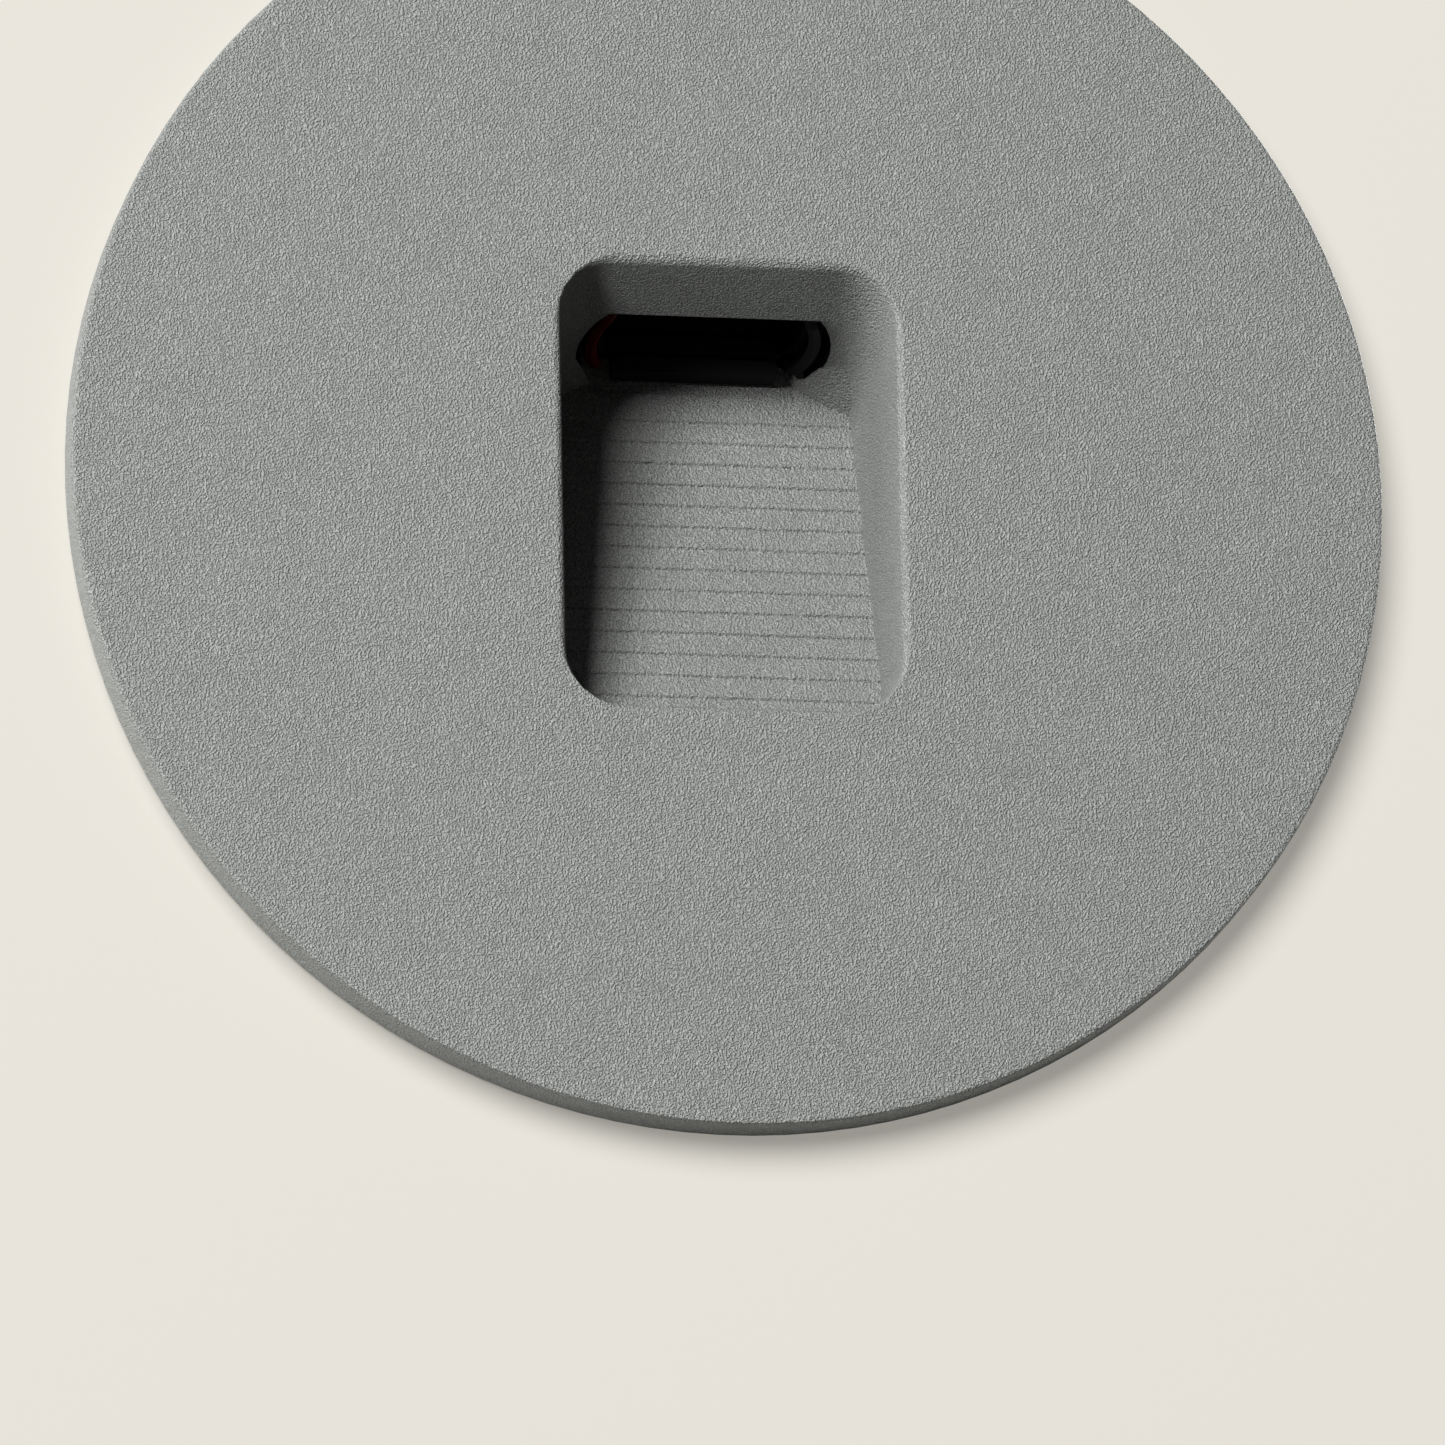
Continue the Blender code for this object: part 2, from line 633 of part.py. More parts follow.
def recess_cutter():
    """The hollow of the recess: drafted walls, a rounded lip, and the ribbed slope as its floor."""
    sections = [(recess_section(0, RECESS_LIP_RADIUS), front_face_y(-CUT_OVERRUN))]
    for step in range(LIP_STEPS + 1):
        angle = math.pi / 2 * step / LIP_STEPS
        depth = RECESS_LIP_RADIUS * (1 - math.cos(angle))
        offset = RECESS_LIP_RADIUS * (1 - math.sin(angle))
        sections.append((recess_section(depth, offset), front_face_y(depth)))
    deepest = SLOPE_TOP_DEPTH + CUT_OVERRUN
    for depth in (CEILING_FRONT_DEPTH, deepest):
        sections.append((recess_section(depth), front_face_y(depth)))
    hollow = loft("recess_hollow", sections)
    cut(hollow, slope_block())
    return hollow


def slope_block():
    """What stays solid behind the slope, with a small face at every rib that looks down."""
    top = SLOPE_TOP_Z + CUT_OVERRUN + CUT_OVERRUN
    outline = [(front_face_y(slope_depth(top) - RIB_STEP), top)]
    for rib in range(RIB_COUNT):
        high = RIB_FIRST_Z - rib * RIB_PITCH + RIB_FACE_HEIGHT / 2
        low = high - RIB_FACE_HEIGHT
        outline.append((front_face_y(slope_depth(high) - RIB_STEP), high))
        outline.append((front_face_y(slope_depth(low)), low))
    bottom = RECESS_BOTTOM - CUT_OVERRUN
    outline.append((front_face_y(slope_depth(bottom)), bottom))
    rear = front_face_y(slope_depth(top)) + CUT_OVERRUN + CUT_OVERRUN
    outline += [(rear, bottom), (rear, top)]
    half = RECESS_HALF_WIDTH + RECESS_LIP_RADIUS + CUT_OVERRUN
    return prism("slope_block", outline, -half, half, None, "YZ")


def recess_casing():
    """The casting round the recess, with a wall behind its slope and above its ceiling."""
    half = RECESS_HALF_WIDTH + RECESS_WALL
    top = RECESS_TOP + RECESS_WALL
    bottom = RECESS_BOTTOM - RECESS_WALL
    wall = RECESS_WALL / math.cos(SLOPE_ANGLE)
    front = -ROOT_OVERLAP
    side = [
        (front, bottom),
        (front_face_y(slope_depth(bottom)) + wall, bottom),
        (front_face_y(slope_depth(SLOPE_TOP_Z)) + wall, SLOPE_TOP_Z),
        (front_face_y(SLOPE_TOP_DEPTH) + wall, SLOPE_TOP_Z + RECESS_WALL),
        (front_face_y(CEILING_FRONT_DEPTH), CEILING_FRONT_Z + RECESS_WALL),
        (front, top),
    ]
    casing = prism("recess_casing", side, -half, half, None, "YZ")
    outline = rounded_rectangle(half, top, bottom, RECESS_CORNER_RADIUS + RECESS_WALL, CORNER_STEPS)
    rear = front_face_y(SLOPE_TOP_DEPTH) + wall + CUT_OVERRUN
    boolean(casing, prism("casing_outline", outline, front - CUT_OVERRUN, rear, None, "XZ"), "INTERSECT")
    return casing


def engine_tower():
    """The raised seat round the bore, which the light engine stands on."""
    front = BORE_FLAT + TOWER_WALL
    outline = double_d(BORE_RADIUS + TOWER_WALL, front, BORE_REAR_FLAT + TOWER_REAR_WALL, BORE_STEPS)
    tower = prism("engine_tower", outline, -TOWER_HEIGHT, TOWER_HEIGHT, None)
    return place(tower, ENGINE_MATRIX)


def engine_post(side):
    post = cylinder("engine_post", CAP_EAR_RADIUS, -TOWER_HEIGHT, TOWER_HEIGHT, None, BOSS_SEGMENTS, "Z")
    return place(post, ENGINE_MATRIX @ Matrix.Translation((side * CAP_EAR_X, 0, 0)))


def engine_post_hole(side):
    low = TOWER_HEIGHT - SMALL_SCREW_BITE - FIT_GAP
    radius = SMALL_SCREW_SHANK + FIT_GAP
    hole = cylinder("engine_post_hole", radius, low, TOWER_HEIGHT + CUT_OVERRUN, None, SCREW_SEGMENTS, "Z")
    return place(hole, ENGINE_MATRIX @ Matrix.Translation((side * CAP_EAR_X, 0, 0)))


def engine_bore():
    outline = double_d(BORE_RADIUS, BORE_FLAT, BORE_REAR_FLAT, BORE_STEPS)
    bore = prism("engine_bore", outline, -CUT_OVERRUN, TOWER_HEIGHT + CUT_OVERRUN, None)
    return place(bore, ENGINE_MATRIX)


def lead_hole(side):
    """The way in for a lead, through the tower's rear wall."""
    radius = LEAD_RADIUS + LEAD_CLEARANCE
    start = BORE_REAR_FLAT - CUT_OVERRUN
    end = BORE_REAR_FLAT + TOWER_REAR_WALL + CUT_OVERRUN
    hole = cylinder("lead_hole", radius, start, end, None, SCREW_SEGMENTS, "Y")
    shift = Matrix.Translation((side * lead_corner()[0], 0, LEAD_ENTRY_HEIGHT))
    return place(hole, ENGINE_MATRIX @ shift)


def plate_bosses(angle):
    x, z = on_circle(EAR_CIRCLE_RADIUS, angle)
    boss = cylinder("plate_boss", EAR_RADIUS, -ROOT_OVERLAP, PLATE_BOSS_HEIGHT, None, BOSS_SEGMENTS)
    low = PLATE_BOSS_BLIND - PLATE_THICKNESS
    radius = PLATE_SCREW_SHANK + FIT_GAP
    hole = cylinder("plate_boss_hole", radius, low, PLATE_BOSS_HEIGHT + CUT_OVERRUN, None, SCREW_SEGMENTS)
    for tool in (boss, hole):
        place(tool, Matrix.Translation((x, 0, z)))
    return boss, hole


def front_plate():
    plate = cylinder("front_plate", PLATE_RADIUS, -PLATE_THICKNESS, 0, "powder_coat", PLATE_SEGMENTS)
    rim = plate.modifiers.new("rim", "BEVEL")
    rim.width = PLATE_EDGE_RADIUS
    rim.segments = 2
    gasket_groove = tube_ring(
        "gasket_groove", WALL_GASKET_INNER - FIT_GAP, WALL_GASKET_OUTER + FIT_GAP,
        -WALL_GASKET_THICKNESS - FIT_GAP, CUT_OVERRUN, None, PLATE_SEGMENTS,
    )
    seal_groove = tube_ring(
        "seal_groove", *seal_radii(FIT_GAP),
        -HOUSING_SEAL_DEPTH - FIT_GAP, CUT_OVERRUN, None, HOUSING_SEGMENTS,
    )
    cut(plate, gasket_groove, seal_groove)
    angles = even_angles(EAR_COUNT, EAR_START)
    bosses, holes = zip(*(plate_bosses(angle) for angle in angles))
    join(plate, recess_casing(), engine_tower(), engine_post(1), engine_post(-1), *bosses)
    cut(plate, recess_cutter(), engine_bore(), *holes)
    cut(plate, *(engine_post_hole(side) for side in (1, -1)))
    cut(plate, *(lead_hole(side) for side in (1, -1)))


def seal_radii(gap):
    middle = HOUSING_RADIUS - HOUSING_WALL / 2
    return middle - HOUSING_SEAL_WIDTH / 2 - gap, middle + HOUSING_SEAL_WIDTH / 2 + gap


def plate_seals():
    tube_ring(
        "wall_gasket", WALL_GASKET_INNER, WALL_GASKET_OUTER,
        -WALL_GASKET_THICKNESS, 0, "grey_foam", HOUSING_SEGMENTS,
    )
    tube_ring(
        "housing_seal", *seal_radii(0),
        -HOUSING_SEAL_DEPTH, HOUSING_FRONT - FIT_GAP, "black_rubber", HOUSING_SEGMENTS // 2,
    )


# Light engine, in its own frame: x across, y towards the rear, z up from the ceiling

def in_engine(thing):
    return place(thing, ENGINE_MATRIX)


def lead_track_radius():
    return BORE_RADIUS - LEAD_TRACK_MARGIN - LEAD_RADIUS


def lead_corner():
    """Where a lead turns at the front and rear of its arc, on the right-hand side."""
    y = BORE_FLAT - LEAD_TRACK_MARGIN - LEAD_RADIUS
    return math.sqrt(lead_track_radius() ** 2 - y ** 2), y


def lead_holes(low, high):
    """Holes through which both leads rise at the front corners."""
    x, y = lead_corner()
    radius = LEAD_RADIUS + LEAD_CLEARANCE
    tools = [cylinder("lead_rise", radius, low, high, None, SCREW_SEGMENTS, "Z") for _ in range(2)]
    for tool, side in zip(tools, (1, -1)):
        place(tool, ENGINE_MATRIX @ Matrix.Translation((side * x, -y, 0)))
    return tools


def lead_slots():
    """Slots in the baffle's lower edge, where both leads come in from the rear."""
    x, y = lead_corner()
    radius = LEAD_RADIUS + LEAD_CLEARANCE
    low, high = BAFFLE_START - CUT_OVERRUN, LEAD_ENTRY_HEIGHT + radius
    slots = []
    for side in (1, -1):
        outline = capsule((side * x, y), (side * x, y + BORE_RADIUS), radius, CORNER_STEPS)
        slots.append(in_engine(prism("lead_slot", outline, low, high, None)))
    return slots


def glare_baffle():
    """A black double-D sleeve with ribs inside, and a flange that rests on the tower."""
    outer = BORE_RADIUS - FIT_GAP
    front, rear = BORE_FLAT - FIT_GAP, BORE_REAR_FLAT - FIT_GAP
    sleeve = double_d(outer, front, rear, BORE_STEPS)
    baffle = prism("glare_baffle", sleeve, BAFFLE_START, FLANGE_HIGH, "black_plastic")
    flange_outline = double_d(
        BORE_RADIUS + BAFFLE_FLANGE_REACH, BORE_FLAT + BAFFLE_FLANGE_REACH,
        BORE_REAR_FLAT + BAFFLE_FLANGE_REACH, BORE_STEPS,
    )
    baffle.data.materials.append(MATERIALS["black_plastic"])
    in_engine(baffle)
    join(baffle, in_engine(prism("baffle_flange", flange_outline, FLANGE_LOW, FLANGE_HIGH, None)))
    inside = double_d(outer - BAFFLE_WALL, front - BAFFLE_WALL, rear - BAFFLE_WALL, BORE_STEPS)
    reach = BAFFLE_WALL + BAFFLE_RIB_REACH
    way = double_d(outer - reach, front - reach, rear - reach, BORE_STEPS)
    low = BAFFLE_START - CUT_OVERRUN
    cut(baffle, in_engine(prism("baffle_way", way, low, FLANGE_HIGH + CUT_OVERRUN, None)))
    start = BAFFLE_START + BAFFLE_RIB_HEIGHT
    while start < FLANGE_LOW:
        end = min(start + BAFFLE_RIB_PITCH - BAFFLE_RIB_HEIGHT, FLANGE_LOW)
        cut(baffle, in_engine(prism("baffle_step", inside, start, end, None)))
        start += BAFFLE_RIB_PITCH
    cut(baffle, *lead_holes(low, FLANGE_HIGH + CUT_OVERRUN), *lead_slots())
    join(baffle, in_engine(baffle_skirt(rear)))


def baffle_skirt(rear):
    """The lowest rib, on the rear flat alone, between the leads."""
    low = BAFFLE_SKIRT_START
    high = BAFFLE_START - BAFFLE_RIB_PITCH + BAFFLE_RIB_HEIGHT
    wall_rear = rear - BAFFLE_SKIRT_INSET
    wall_front = rear - BAFFLE_WALL + BAFFLE_SKIRT_INSET
    rib_front = rear - BAFFLE_WALL - BAFFLE_RIB_REACH
    top = BAFFLE_START + BAFFLE_RIB_HEIGHT / 2
    outline = [
        (rib_front, low), (wall_rear, low), (wall_rear, top),
        (wall_front, top), (wall_front, high), (rib_front, high),
    ]
    half = lead_corner()[0] - LEAD_RADIUS - LEAD_CLEARANCE - FIT_GAP
    return prism("baffle_skirt", outline, -half, half, None, "YZ")


def lens_stack():
    reach = BAFFLE_FLANGE_REACH
    outer = double_d(BORE_RADIUS + reach, BORE_FLAT + reach, BORE_REAR_FLAT + reach, BORE_STEPS)
    narrow = reach - LENS_GASKET_WIDTH
    inner = double_d(BORE_RADIUS + narrow, BORE_FLAT + narrow, BORE_REAR_FLAT + narrow, BORE_STEPS)
    gasket = prism(
        "lens_gasket", outer, LENS_GASKET_LOW, LENS_GASKET_LOW + LENS_GASKET_THICKNESS, None, holes=[inner],
    )
    gasket.data.materials.append(MATERIALS["black_rubber"])
    in_engine(gasket)
    lens = prism("lens", outer, LENS_LOW, LENS_HIGH, None)
    lens.data.materials.append(MATERIALS["clear_lens"])
    in_engine(lens)
    cut(lens, *lead_holes(LENS_LOW - CUT_OVERRUN, LENS_HIGH + CUT_OVERRUN))


def led_board():
    narrow = BAFFLE_FLANGE_REACH
    outline = double_d(BORE_RADIUS + narrow, BORE_FLAT + narrow, BORE_REAR_FLAT + narrow, BORE_STEPS)
    high = LED_BOARD_LOW + LED_BOARD_THICKNESS
    board = prism("led_board", outline, LED_BOARD_LOW, high, None)
    board.data.materials.append(MATERIALS["white_board"])
    in_engine(board)
    pad_outline = double_d(BORE_RADIUS, BORE_FLAT, BORE_REAR_FLAT, BORE_STEPS)
    pad = prism("thermal_pad", pad_outline, PAD_LOW, PAD_LOW + PAD_THICKNESS, None)
    pad.data.materials.append(MATERIALS["grey_pad"])
    in_engine(pad)
    for index in range(CHIP_COUNT):
        x = (index - (CHIP_COUNT - 1) / 2) * CHIP_PITCH
        half = CHIP_SIZE / 2
        low = (x - half, -half, CHIP_LOW)
        high = (x + half, half, CHIP_LOW + CHIP_THICKNESS)
        in_engine(box(f"led_chip_{index + 1}", low, high, "yellow_phosphor", CHIP_EDGE_BEVEL))


def engine_cap():
    """The aluminium cap that presses the stack down and takes the board's heat away."""
    reach = BAFFLE_FLANGE_REACH + FIT_GAP
    wall = CAP_REACH
    outer = double_d(BORE_RADIUS + wall, BORE_FLAT + wall, BORE_REAR_FLAT + wall, BORE_STEPS)
    inner = double_d(BORE_RADIUS + reach, BORE_FLAT + reach, BORE_REAR_FLAT + reach, BORE_STEPS)
    cap = prism("engine_cap", outer, FLANGE_LOW + FIT_GAP, CAP_TOP, None)
    cap.data.materials.append(MATERIALS["cast_aluminium"])
    in_engine(cap)
    ears = capsule((-CAP_EAR_X, 0), (CAP_EAR_X, 0), CAP_EAR_RADIUS, CORNER_STEPS)
    join(cap, in_engine(prism("cap_ears", ears, FLANGE_LOW, FLANGE_LOW + CAP_EAR_THICKNESS, None)))
    cut(cap, in_engine(prism("cap_inside", inner, FLANGE_LOW - CUT_OVERRUN, CAP_CEILING, None)))
    for side in (1, -1):
        radius = SMALL_SCREW_SHANK + FIT_GAP
        end = FLANGE_LOW + CAP_EAR_THICKNESS + CUT_OVERRUN
        hole = cylinder("cap_hole", radius, FLANGE_LOW - CUT_OVERRUN, end, None, SCREW_SEGMENTS, "Z")
        cut(cap, place(hole, ENGINE_MATRIX @ Matrix.Translation((side * CAP_EAR_X, 0, 0))))


def lead_route(side):
    """From the driver board, through the tower's rear wall, round the bore and up to the LED board."""
    x, y = lead_corner()
    track = lead_track_radius()
    swing = math.asin(y / track)
    outside = BORE_REAR_FLAT + TOWER_REAR_WALL
    entry = [
        (x, outside + outside - BORE_REAR_FLAT, LEAD_ENTRY_HEIGHT), (x, y, LEAD_ENTRY_HEIGHT),
        (x, y, LEAD_TRACK_HEIGHT),
    ]
    arc_points = [
        (track * math.cos(angle), track * math.sin(angle), LEAD_TRACK_HEIGHT)
        for angle in (swing - 2 * swing * step / LEAD_TRACK_STEPS for step in range(1, LEAD_TRACK_STEPS))
    ]
    rise = [(x, -y, LEAD_TRACK_HEIGHT), (x, -y, LED_BOARD_LOW - FIT_GAP)]
    inside = [ENGINE_MATRIX @ Vector((side * px, py, pz)) for px, py, pz in entry + arc_points + rise]
    start = Vector((side * LEAD_BOARD_X, DRIVER_BOARD_FRONT - FIT_GAP, LEAD_BOARD_Z))
    off_board = start - Vector((0, LEAD_TRACK_HEIGHT + LEAD_RADIUS * 6, 0))
    return [start, off_board] + inside


def leads():
    wire("red_lead", rounded_path(lead_route(-1), LEAD_BEND), LEAD_RADIUS, "red_sheath")
    wire("black_lead", rounded_path(lead_route(1), LEAD_BEND), LEAD_RADIUS, "black_sheath")


def rounded_path(points, bend):
    """Straight stretches whose corners are rounded off within a bend length on each side."""
    path = [points[0]]
    for before, corner, after in zip(points, points[1:], points[2:]):
        back, ahead = before - corner, after - corner
        start = corner + back.normalized() * min(bend, back.length / 2)
        end = corner + ahead.normalized() * min(bend, ahead.length / 2)
        path += [start, (start + 2 * corner + end) / 4, end]
    return path + [points[-1]]


# Screws and rivets

def headed_pin(name, shank, length, head, head_height, matrix, material, socket=True):
    """A turned fastener whose head stands on +z, with its shank below."""
    crown = head * HEAD_CROWN_SHARE
    profile = [
        (0, head_height), (crown, head_height), (head, head_height / 2), (head, 0),
        (shank, 0), (shank, -length), (0, -length),
    ]
    pin = place(turned(name, profile, material, SCREW_SEGMENTS, "Z"), matrix)
    if socket:
        low = head_height * (1 - SOCKET_SHARE)
        hole = cylinder("socket", head * SOCKET_SHARE, low, head_height * 2, None, 6, "Z")
        cut(pin, place(hole, matrix))
    return pin


def facing(point, direction):
    turn = Vector(direction).to_track_quat("Z", "Y").to_matrix().to_4x4()
    return Matrix.Translation(point) @ turn


def plate_screws():
    seat = PLATE_BOSS_HEIGHT + FIT_GAP + EAR_THICKNESS + FIT_GAP
    reach = seat + PLATE_THICKNESS - PLATE_BOSS_BLIND - FIT_GAP
    for index, angle in enumerate(even_angles(EAR_COUNT, EAR_START)):
        x, z = on_circle(EAR_CIRCLE_RADIUS, angle)
        headed_pin(
            f"plate_screw_{index + 1}", PLATE_SCREW_SHANK, reach, PLATE_SCREW_HEAD,
            PLATE_SCREW_HEAD_HEIGHT, facing((x, seat, z), (0, 1, 0)), "zinc_steel",
        )


def engine_screws():
    seat = FLANGE_LOW + CAP_EAR_THICKNESS + FIT_GAP
    for index, side in enumerate((-1, 1)):
        matrix = ENGINE_MATRIX @ Matrix.Translation((side * CAP_EAR_X, 0, seat))
        length = seat - TOWER_HEIGHT + SMALL_SCREW_BITE
        headed_pin(
            f"engine_screw_{index + 1}", SMALL_SCREW_SHANK, length, SMALL_SCREW_HEAD,
            SMALL_SCREW_HEAD_HEIGHT, matrix, "zinc_steel",
        )


# Housing

def fin_angles():
    """Fins all round, left out where the ears and the clips are."""
    ear_half = math.asin(EAR_RADIUS / EAR_CIRCLE_RADIUS) + FIN_EAR_CLEARANCE
    kept = []
    for index in range(round(math.tau / FIN_PITCH)):
        angle = (index + 0.5) * FIN_PITCH
        near_ear = any(
            abs(math.remainder(angle - ear, math.tau)) < ear_half
            for ear in even_angles(EAR_COUNT, EAR_START)
        )
        near_clip = abs(math.remainder(angle, math.pi)) < FIN_CLIP_CLEARANCE
        if not near_ear and not near_clip:
            kept.append(angle)
    return kept


def within_wall(share):
    return HOUSING_RADIUS - HOUSING_WALL * share


def full_circle(radius, segments=HOUSING_SEGMENTS):
    return arc((0, 0), radius, 0, math.tau, segments)[:-1]


def lobed(radius, lobe_circle, lobe_radius, angles, steps):
    """A circle with round-ended lobes that reach out, or in, to another circle."""
    outward = 1 if lobe_circle > radius else -1
    half = math.asin(lobe_radius / radius)
    root = radius * math.cos(half)
    outline = []
    for index, angle in enumerate(angles):
        turn_to = angles[(index + 1) % len(angles)]
        if turn_to <= angle:
            turn_to += math.tau
        across = Vector((-math.sin(angle), math.cos(angle)))
        along = Vector((math.cos(angle), math.sin(angle)))
        outline.append(tuple(along * root - across * lobe_radius))
        for step in range(steps + 1):
            swing = math.pi * step / steps - math.pi / 2
            point = along * (lobe_circle + outward * lobe_radius * math.cos(swing))
            outline.append(tuple(point + across * lobe_radius * math.sin(swing)))
        outline.append(tuple(along * root + across * lobe_radius))
        spans = max(round((turn_to - angle - 2 * half) / math.tau * HOUSING_SEGMENTS), 2)
        outline += arc((0, 0), radius, angle + half, turn_to - half, spans)[1:-1]
    return outline


def finned_jacket():
    """A sleeve whose outline carries every fin, joined by arcs at its root."""
    root, inner = map(within_wall, OUTER_RING_SHARES)
    half = FIN_THICKNESS / 2
    swing = math.asin(half / root)
    angles = fin_angles()
    outline = []
    for angle, following in zip(angles, angles[1:] + [angles[0] + math.tau]):
        across = Vector((-math.sin(angle), math.cos(angle)))
        along = Vector((math.cos(angle), math.sin(angle)))
        reach = root * math.cos(swing)
        for out, side in ((reach, -1), (FIN_RADIUS, -1), (FIN_RADIUS, 1), (reach, 1)):
            outline.append(tuple(along * out + across * half * side))
        spans = round((following - angle) / FIN_PITCH)
        outline += arc((0, 0), root, angle + swing, following - swing, spans)[1:-1]
    return prism("finned_jacket", outline, FIN_FRONT, FIN_REAR, None, "XZ", holes=[full_circle(inner)])


def inner_ring(name, lobe_circle, lobe_radius, angles, low, high):
    """A ring inside the housing's wall, with lobes that reach in."""
    outer, wall = map(within_wall, INNER_RING_SHARES)
    inner = lobed(wall, lobe_circle, lobe_radius, angles, CORNER_STEPS)
    return prism(name, full_circle(outer), low, high, None, "XZ", holes=[inner])


def ear_ring():
    root, inner = map(within_wall, OUTER_RING_SHARES)
    outer = lobed(root, EAR_CIRCLE_RADIUS, EAR_RADIUS, even_angles(EAR_COUNT, EAR_START), CORNER_STEPS)
    low = PLATE_BOSS_HEIGHT + FIT_GAP
    return prism("ear_ring", outer, low, low + EAR_THICKNESS, None, "XZ", holes=[full_circle(inner)])


def hole_at(name, radius, low, high, x, z):
    hole = cylinder(name, radius, low, high, None, SCREW_SEGMENTS)
    return place(hole, Matrix.Translation((x, 0, z)))


def housing():
    """A finned tube, open at both ends, with ears, screw posts and board lugs."""
    shell = tube_ring(
        "housing", HOUSING_BORE, HOUSING_RADIUS, HOUSING_FRONT, HOUSING_REAR,
        "cast_aluminium", HOUSING_SEGMENTS,
    )
    posts = inner_ring(
        "cover_posts", COVER_POST_CIRCLE, COVER_POST_RADIUS,
        even_angles(COVER_POST_COUNT, COVER_POST_START), COVER_POST_FRONT, HOUSING_REAR - FIT_GAP,
    )
    lugs = inner_ring(
        "driver_lugs", DRIVER_LUG_CIRCLE, DRIVER_LUG_RADIUS,
        even_angles(DRIVER_LUG_COUNT, DRIVER_LUG_START),
        DRIVER_BOARD_FRONT - FIT_GAP - DRIVER_LUG_LENGTH, DRIVER_BOARD_FRONT - FIT_GAP,
    )
    join(shell, ear_ring(), finned_jacket(), posts, lugs, *(clip_pad(side) for side in (1, -1)))
    for angle in even_angles(EAR_COUNT, EAR_START):
        x, z = on_circle(EAR_CIRCLE_RADIUS, angle)
        low = PLATE_BOSS_HEIGHT
        high = PLATE_BOSS_HEIGHT + EAR_THICKNESS + CUT_OVERRUN
        cut(shell, hole_at("ear_hole", PLATE_SCREW_SHANK + FIT_GAP, low, high, x, z))
    bite = SMALL_SCREW_BITE + FIT_GAP
    radius = SMALL_SCREW_SHANK + FIT_GAP
    for angle in even_angles(COVER_POST_COUNT, COVER_POST_START):
        x, z = on_circle(COVER_POST_CIRCLE, angle)
        low, high = HOUSING_REAR - bite, HOUSING_REAR + CUT_OVERRUN
        cut(shell, hole_at("post_hole", radius, low, high, x, z))
    for angle in even_angles(DRIVER_LUG_COUNT, DRIVER_LUG_START):
        x, z = on_circle(DRIVER_LUG_CIRCLE, angle)
        low, high = DRIVER_BOARD_FRONT - bite, DRIVER_BOARD_FRONT + CUT_OVERRUN
        cut(shell, hole_at("lug_hole", radius, low, high, x, z))
    for side in (1, -1):
        for y in rivet_places():
            hole = cylinder(
                "rivet_hole", RIVET_SHANK + FIT_GAP, *rivet_hole_span(), None, SCREW_SEGMENTS, "X",
            )
            cut(shell, place(hole, mirrored(side) @ Matrix.Translation((0, y, 0))))


# Driver

def driver_board():
    radius = HOUSING_BORE - DRIVER_BOARD_EDGE_GAP
    outline = arc((0, 0), radius, 0, math.tau, HOUSING_SEGMENTS // 2)[:-1]
    board = prism("driver_board", outline, DRIVER_BOARD_FRONT, DRIVER_BOARD_REAR, None, "XZ")
    board.data.materials.append(MATERIALS["green_board"])
    hole_radius = SMALL_SCREW_SHANK + FIT_GAP
    low, high = DRIVER_BOARD_FRONT - CUT_OVERRUN, DRIVER_BOARD_REAR + CUT_OVERRUN
    for index, angle in enumerate(even_angles(DRIVER_LUG_COUNT, DRIVER_LUG_START)):
        x, z = on_circle(DRIVER_LUG_CIRCLE, angle)
        cut(board, hole_at("board_hole", hole_radius, low, high, x, z))
        seat = DRIVER_BOARD_REAR + FIT_GAP
        length = seat - DRIVER_BOARD_FRONT + SMALL_SCREW_BITE
        headed_pin(
            f"board_screw_{index + 1}", SMALL_SCREW_SHANK, length, SMALL_SCREW_HEAD,
            SMALL_SCREW_HEAD_HEIGHT, facing((x, seat, z), (0, 1, 0)), "zinc_steel",
        )


def transformer():
    """A ferrite core with two windows, and the taped winding round its middle limb."""
    rear = DRIVER_BOARD_FRONT - FIT_GAP
    front = rear - TRANSFORMER_DEPTH
    half_width = TRANSFORMER_WIDTH / 2
    half_height = TRANSFORMER_HEIGHT / 2
    core = box(
        "transformer_core",
        (TRANSFORMER_X - half_width, front, TRANSFORMER_Z - half_height),
        (TRANSFORMER_X + half_width, rear, TRANSFORMER_Z + half_height),
        "ferrite",
    )
    limb = TRANSFORMER_LIMB / 2
    window_half_height = half_height - TRANSFORMER_LIMB
    for side in (1, -1):
        near = TRANSFORMER_X + side * limb
        far = near + side * TRANSFORMER_WINDOW
        cut(core, box(
            "core_window",
            (min(near, far), front - CUT_OVERRUN, TRANSFORMER_Z - window_half_height),
            (max(near, far), rear + CUT_OVERRUN, TRANSFORMER_Z + window_half_height),
            None,
        ))
    outer_x = limb + TRANSFORMER_WINDOW - FIT_GAP
    outer_y = TRANSFORMER_DEPTH / 2 - FIT_GAP
    winding = box(
        "transformer_winding",
        (-outer_x, -outer_y - WINDING_CORNER, -WINDING_LENGTH / 2),
        (outer_x, outer_y, WINDING_LENGTH / 2),
        "winding_tape", WINDING_CORNER / 2,
    )
    place(winding, Matrix.Translation((TRANSFORMER_X, (front + rear) / 2, TRANSFORMER_Z)))
    inner = limb + FIT_GAP
    cut(winding, box(
        "winding_inside",
        (TRANSFORMER_X - inner, front - FIT_GAP, TRANSFORMER_Z - WINDING_LENGTH),
        (TRANSFORMER_X + inner, rear + FIT_GAP, TRANSFORMER_Z + WINDING_LENGTH),
        None,
    ))


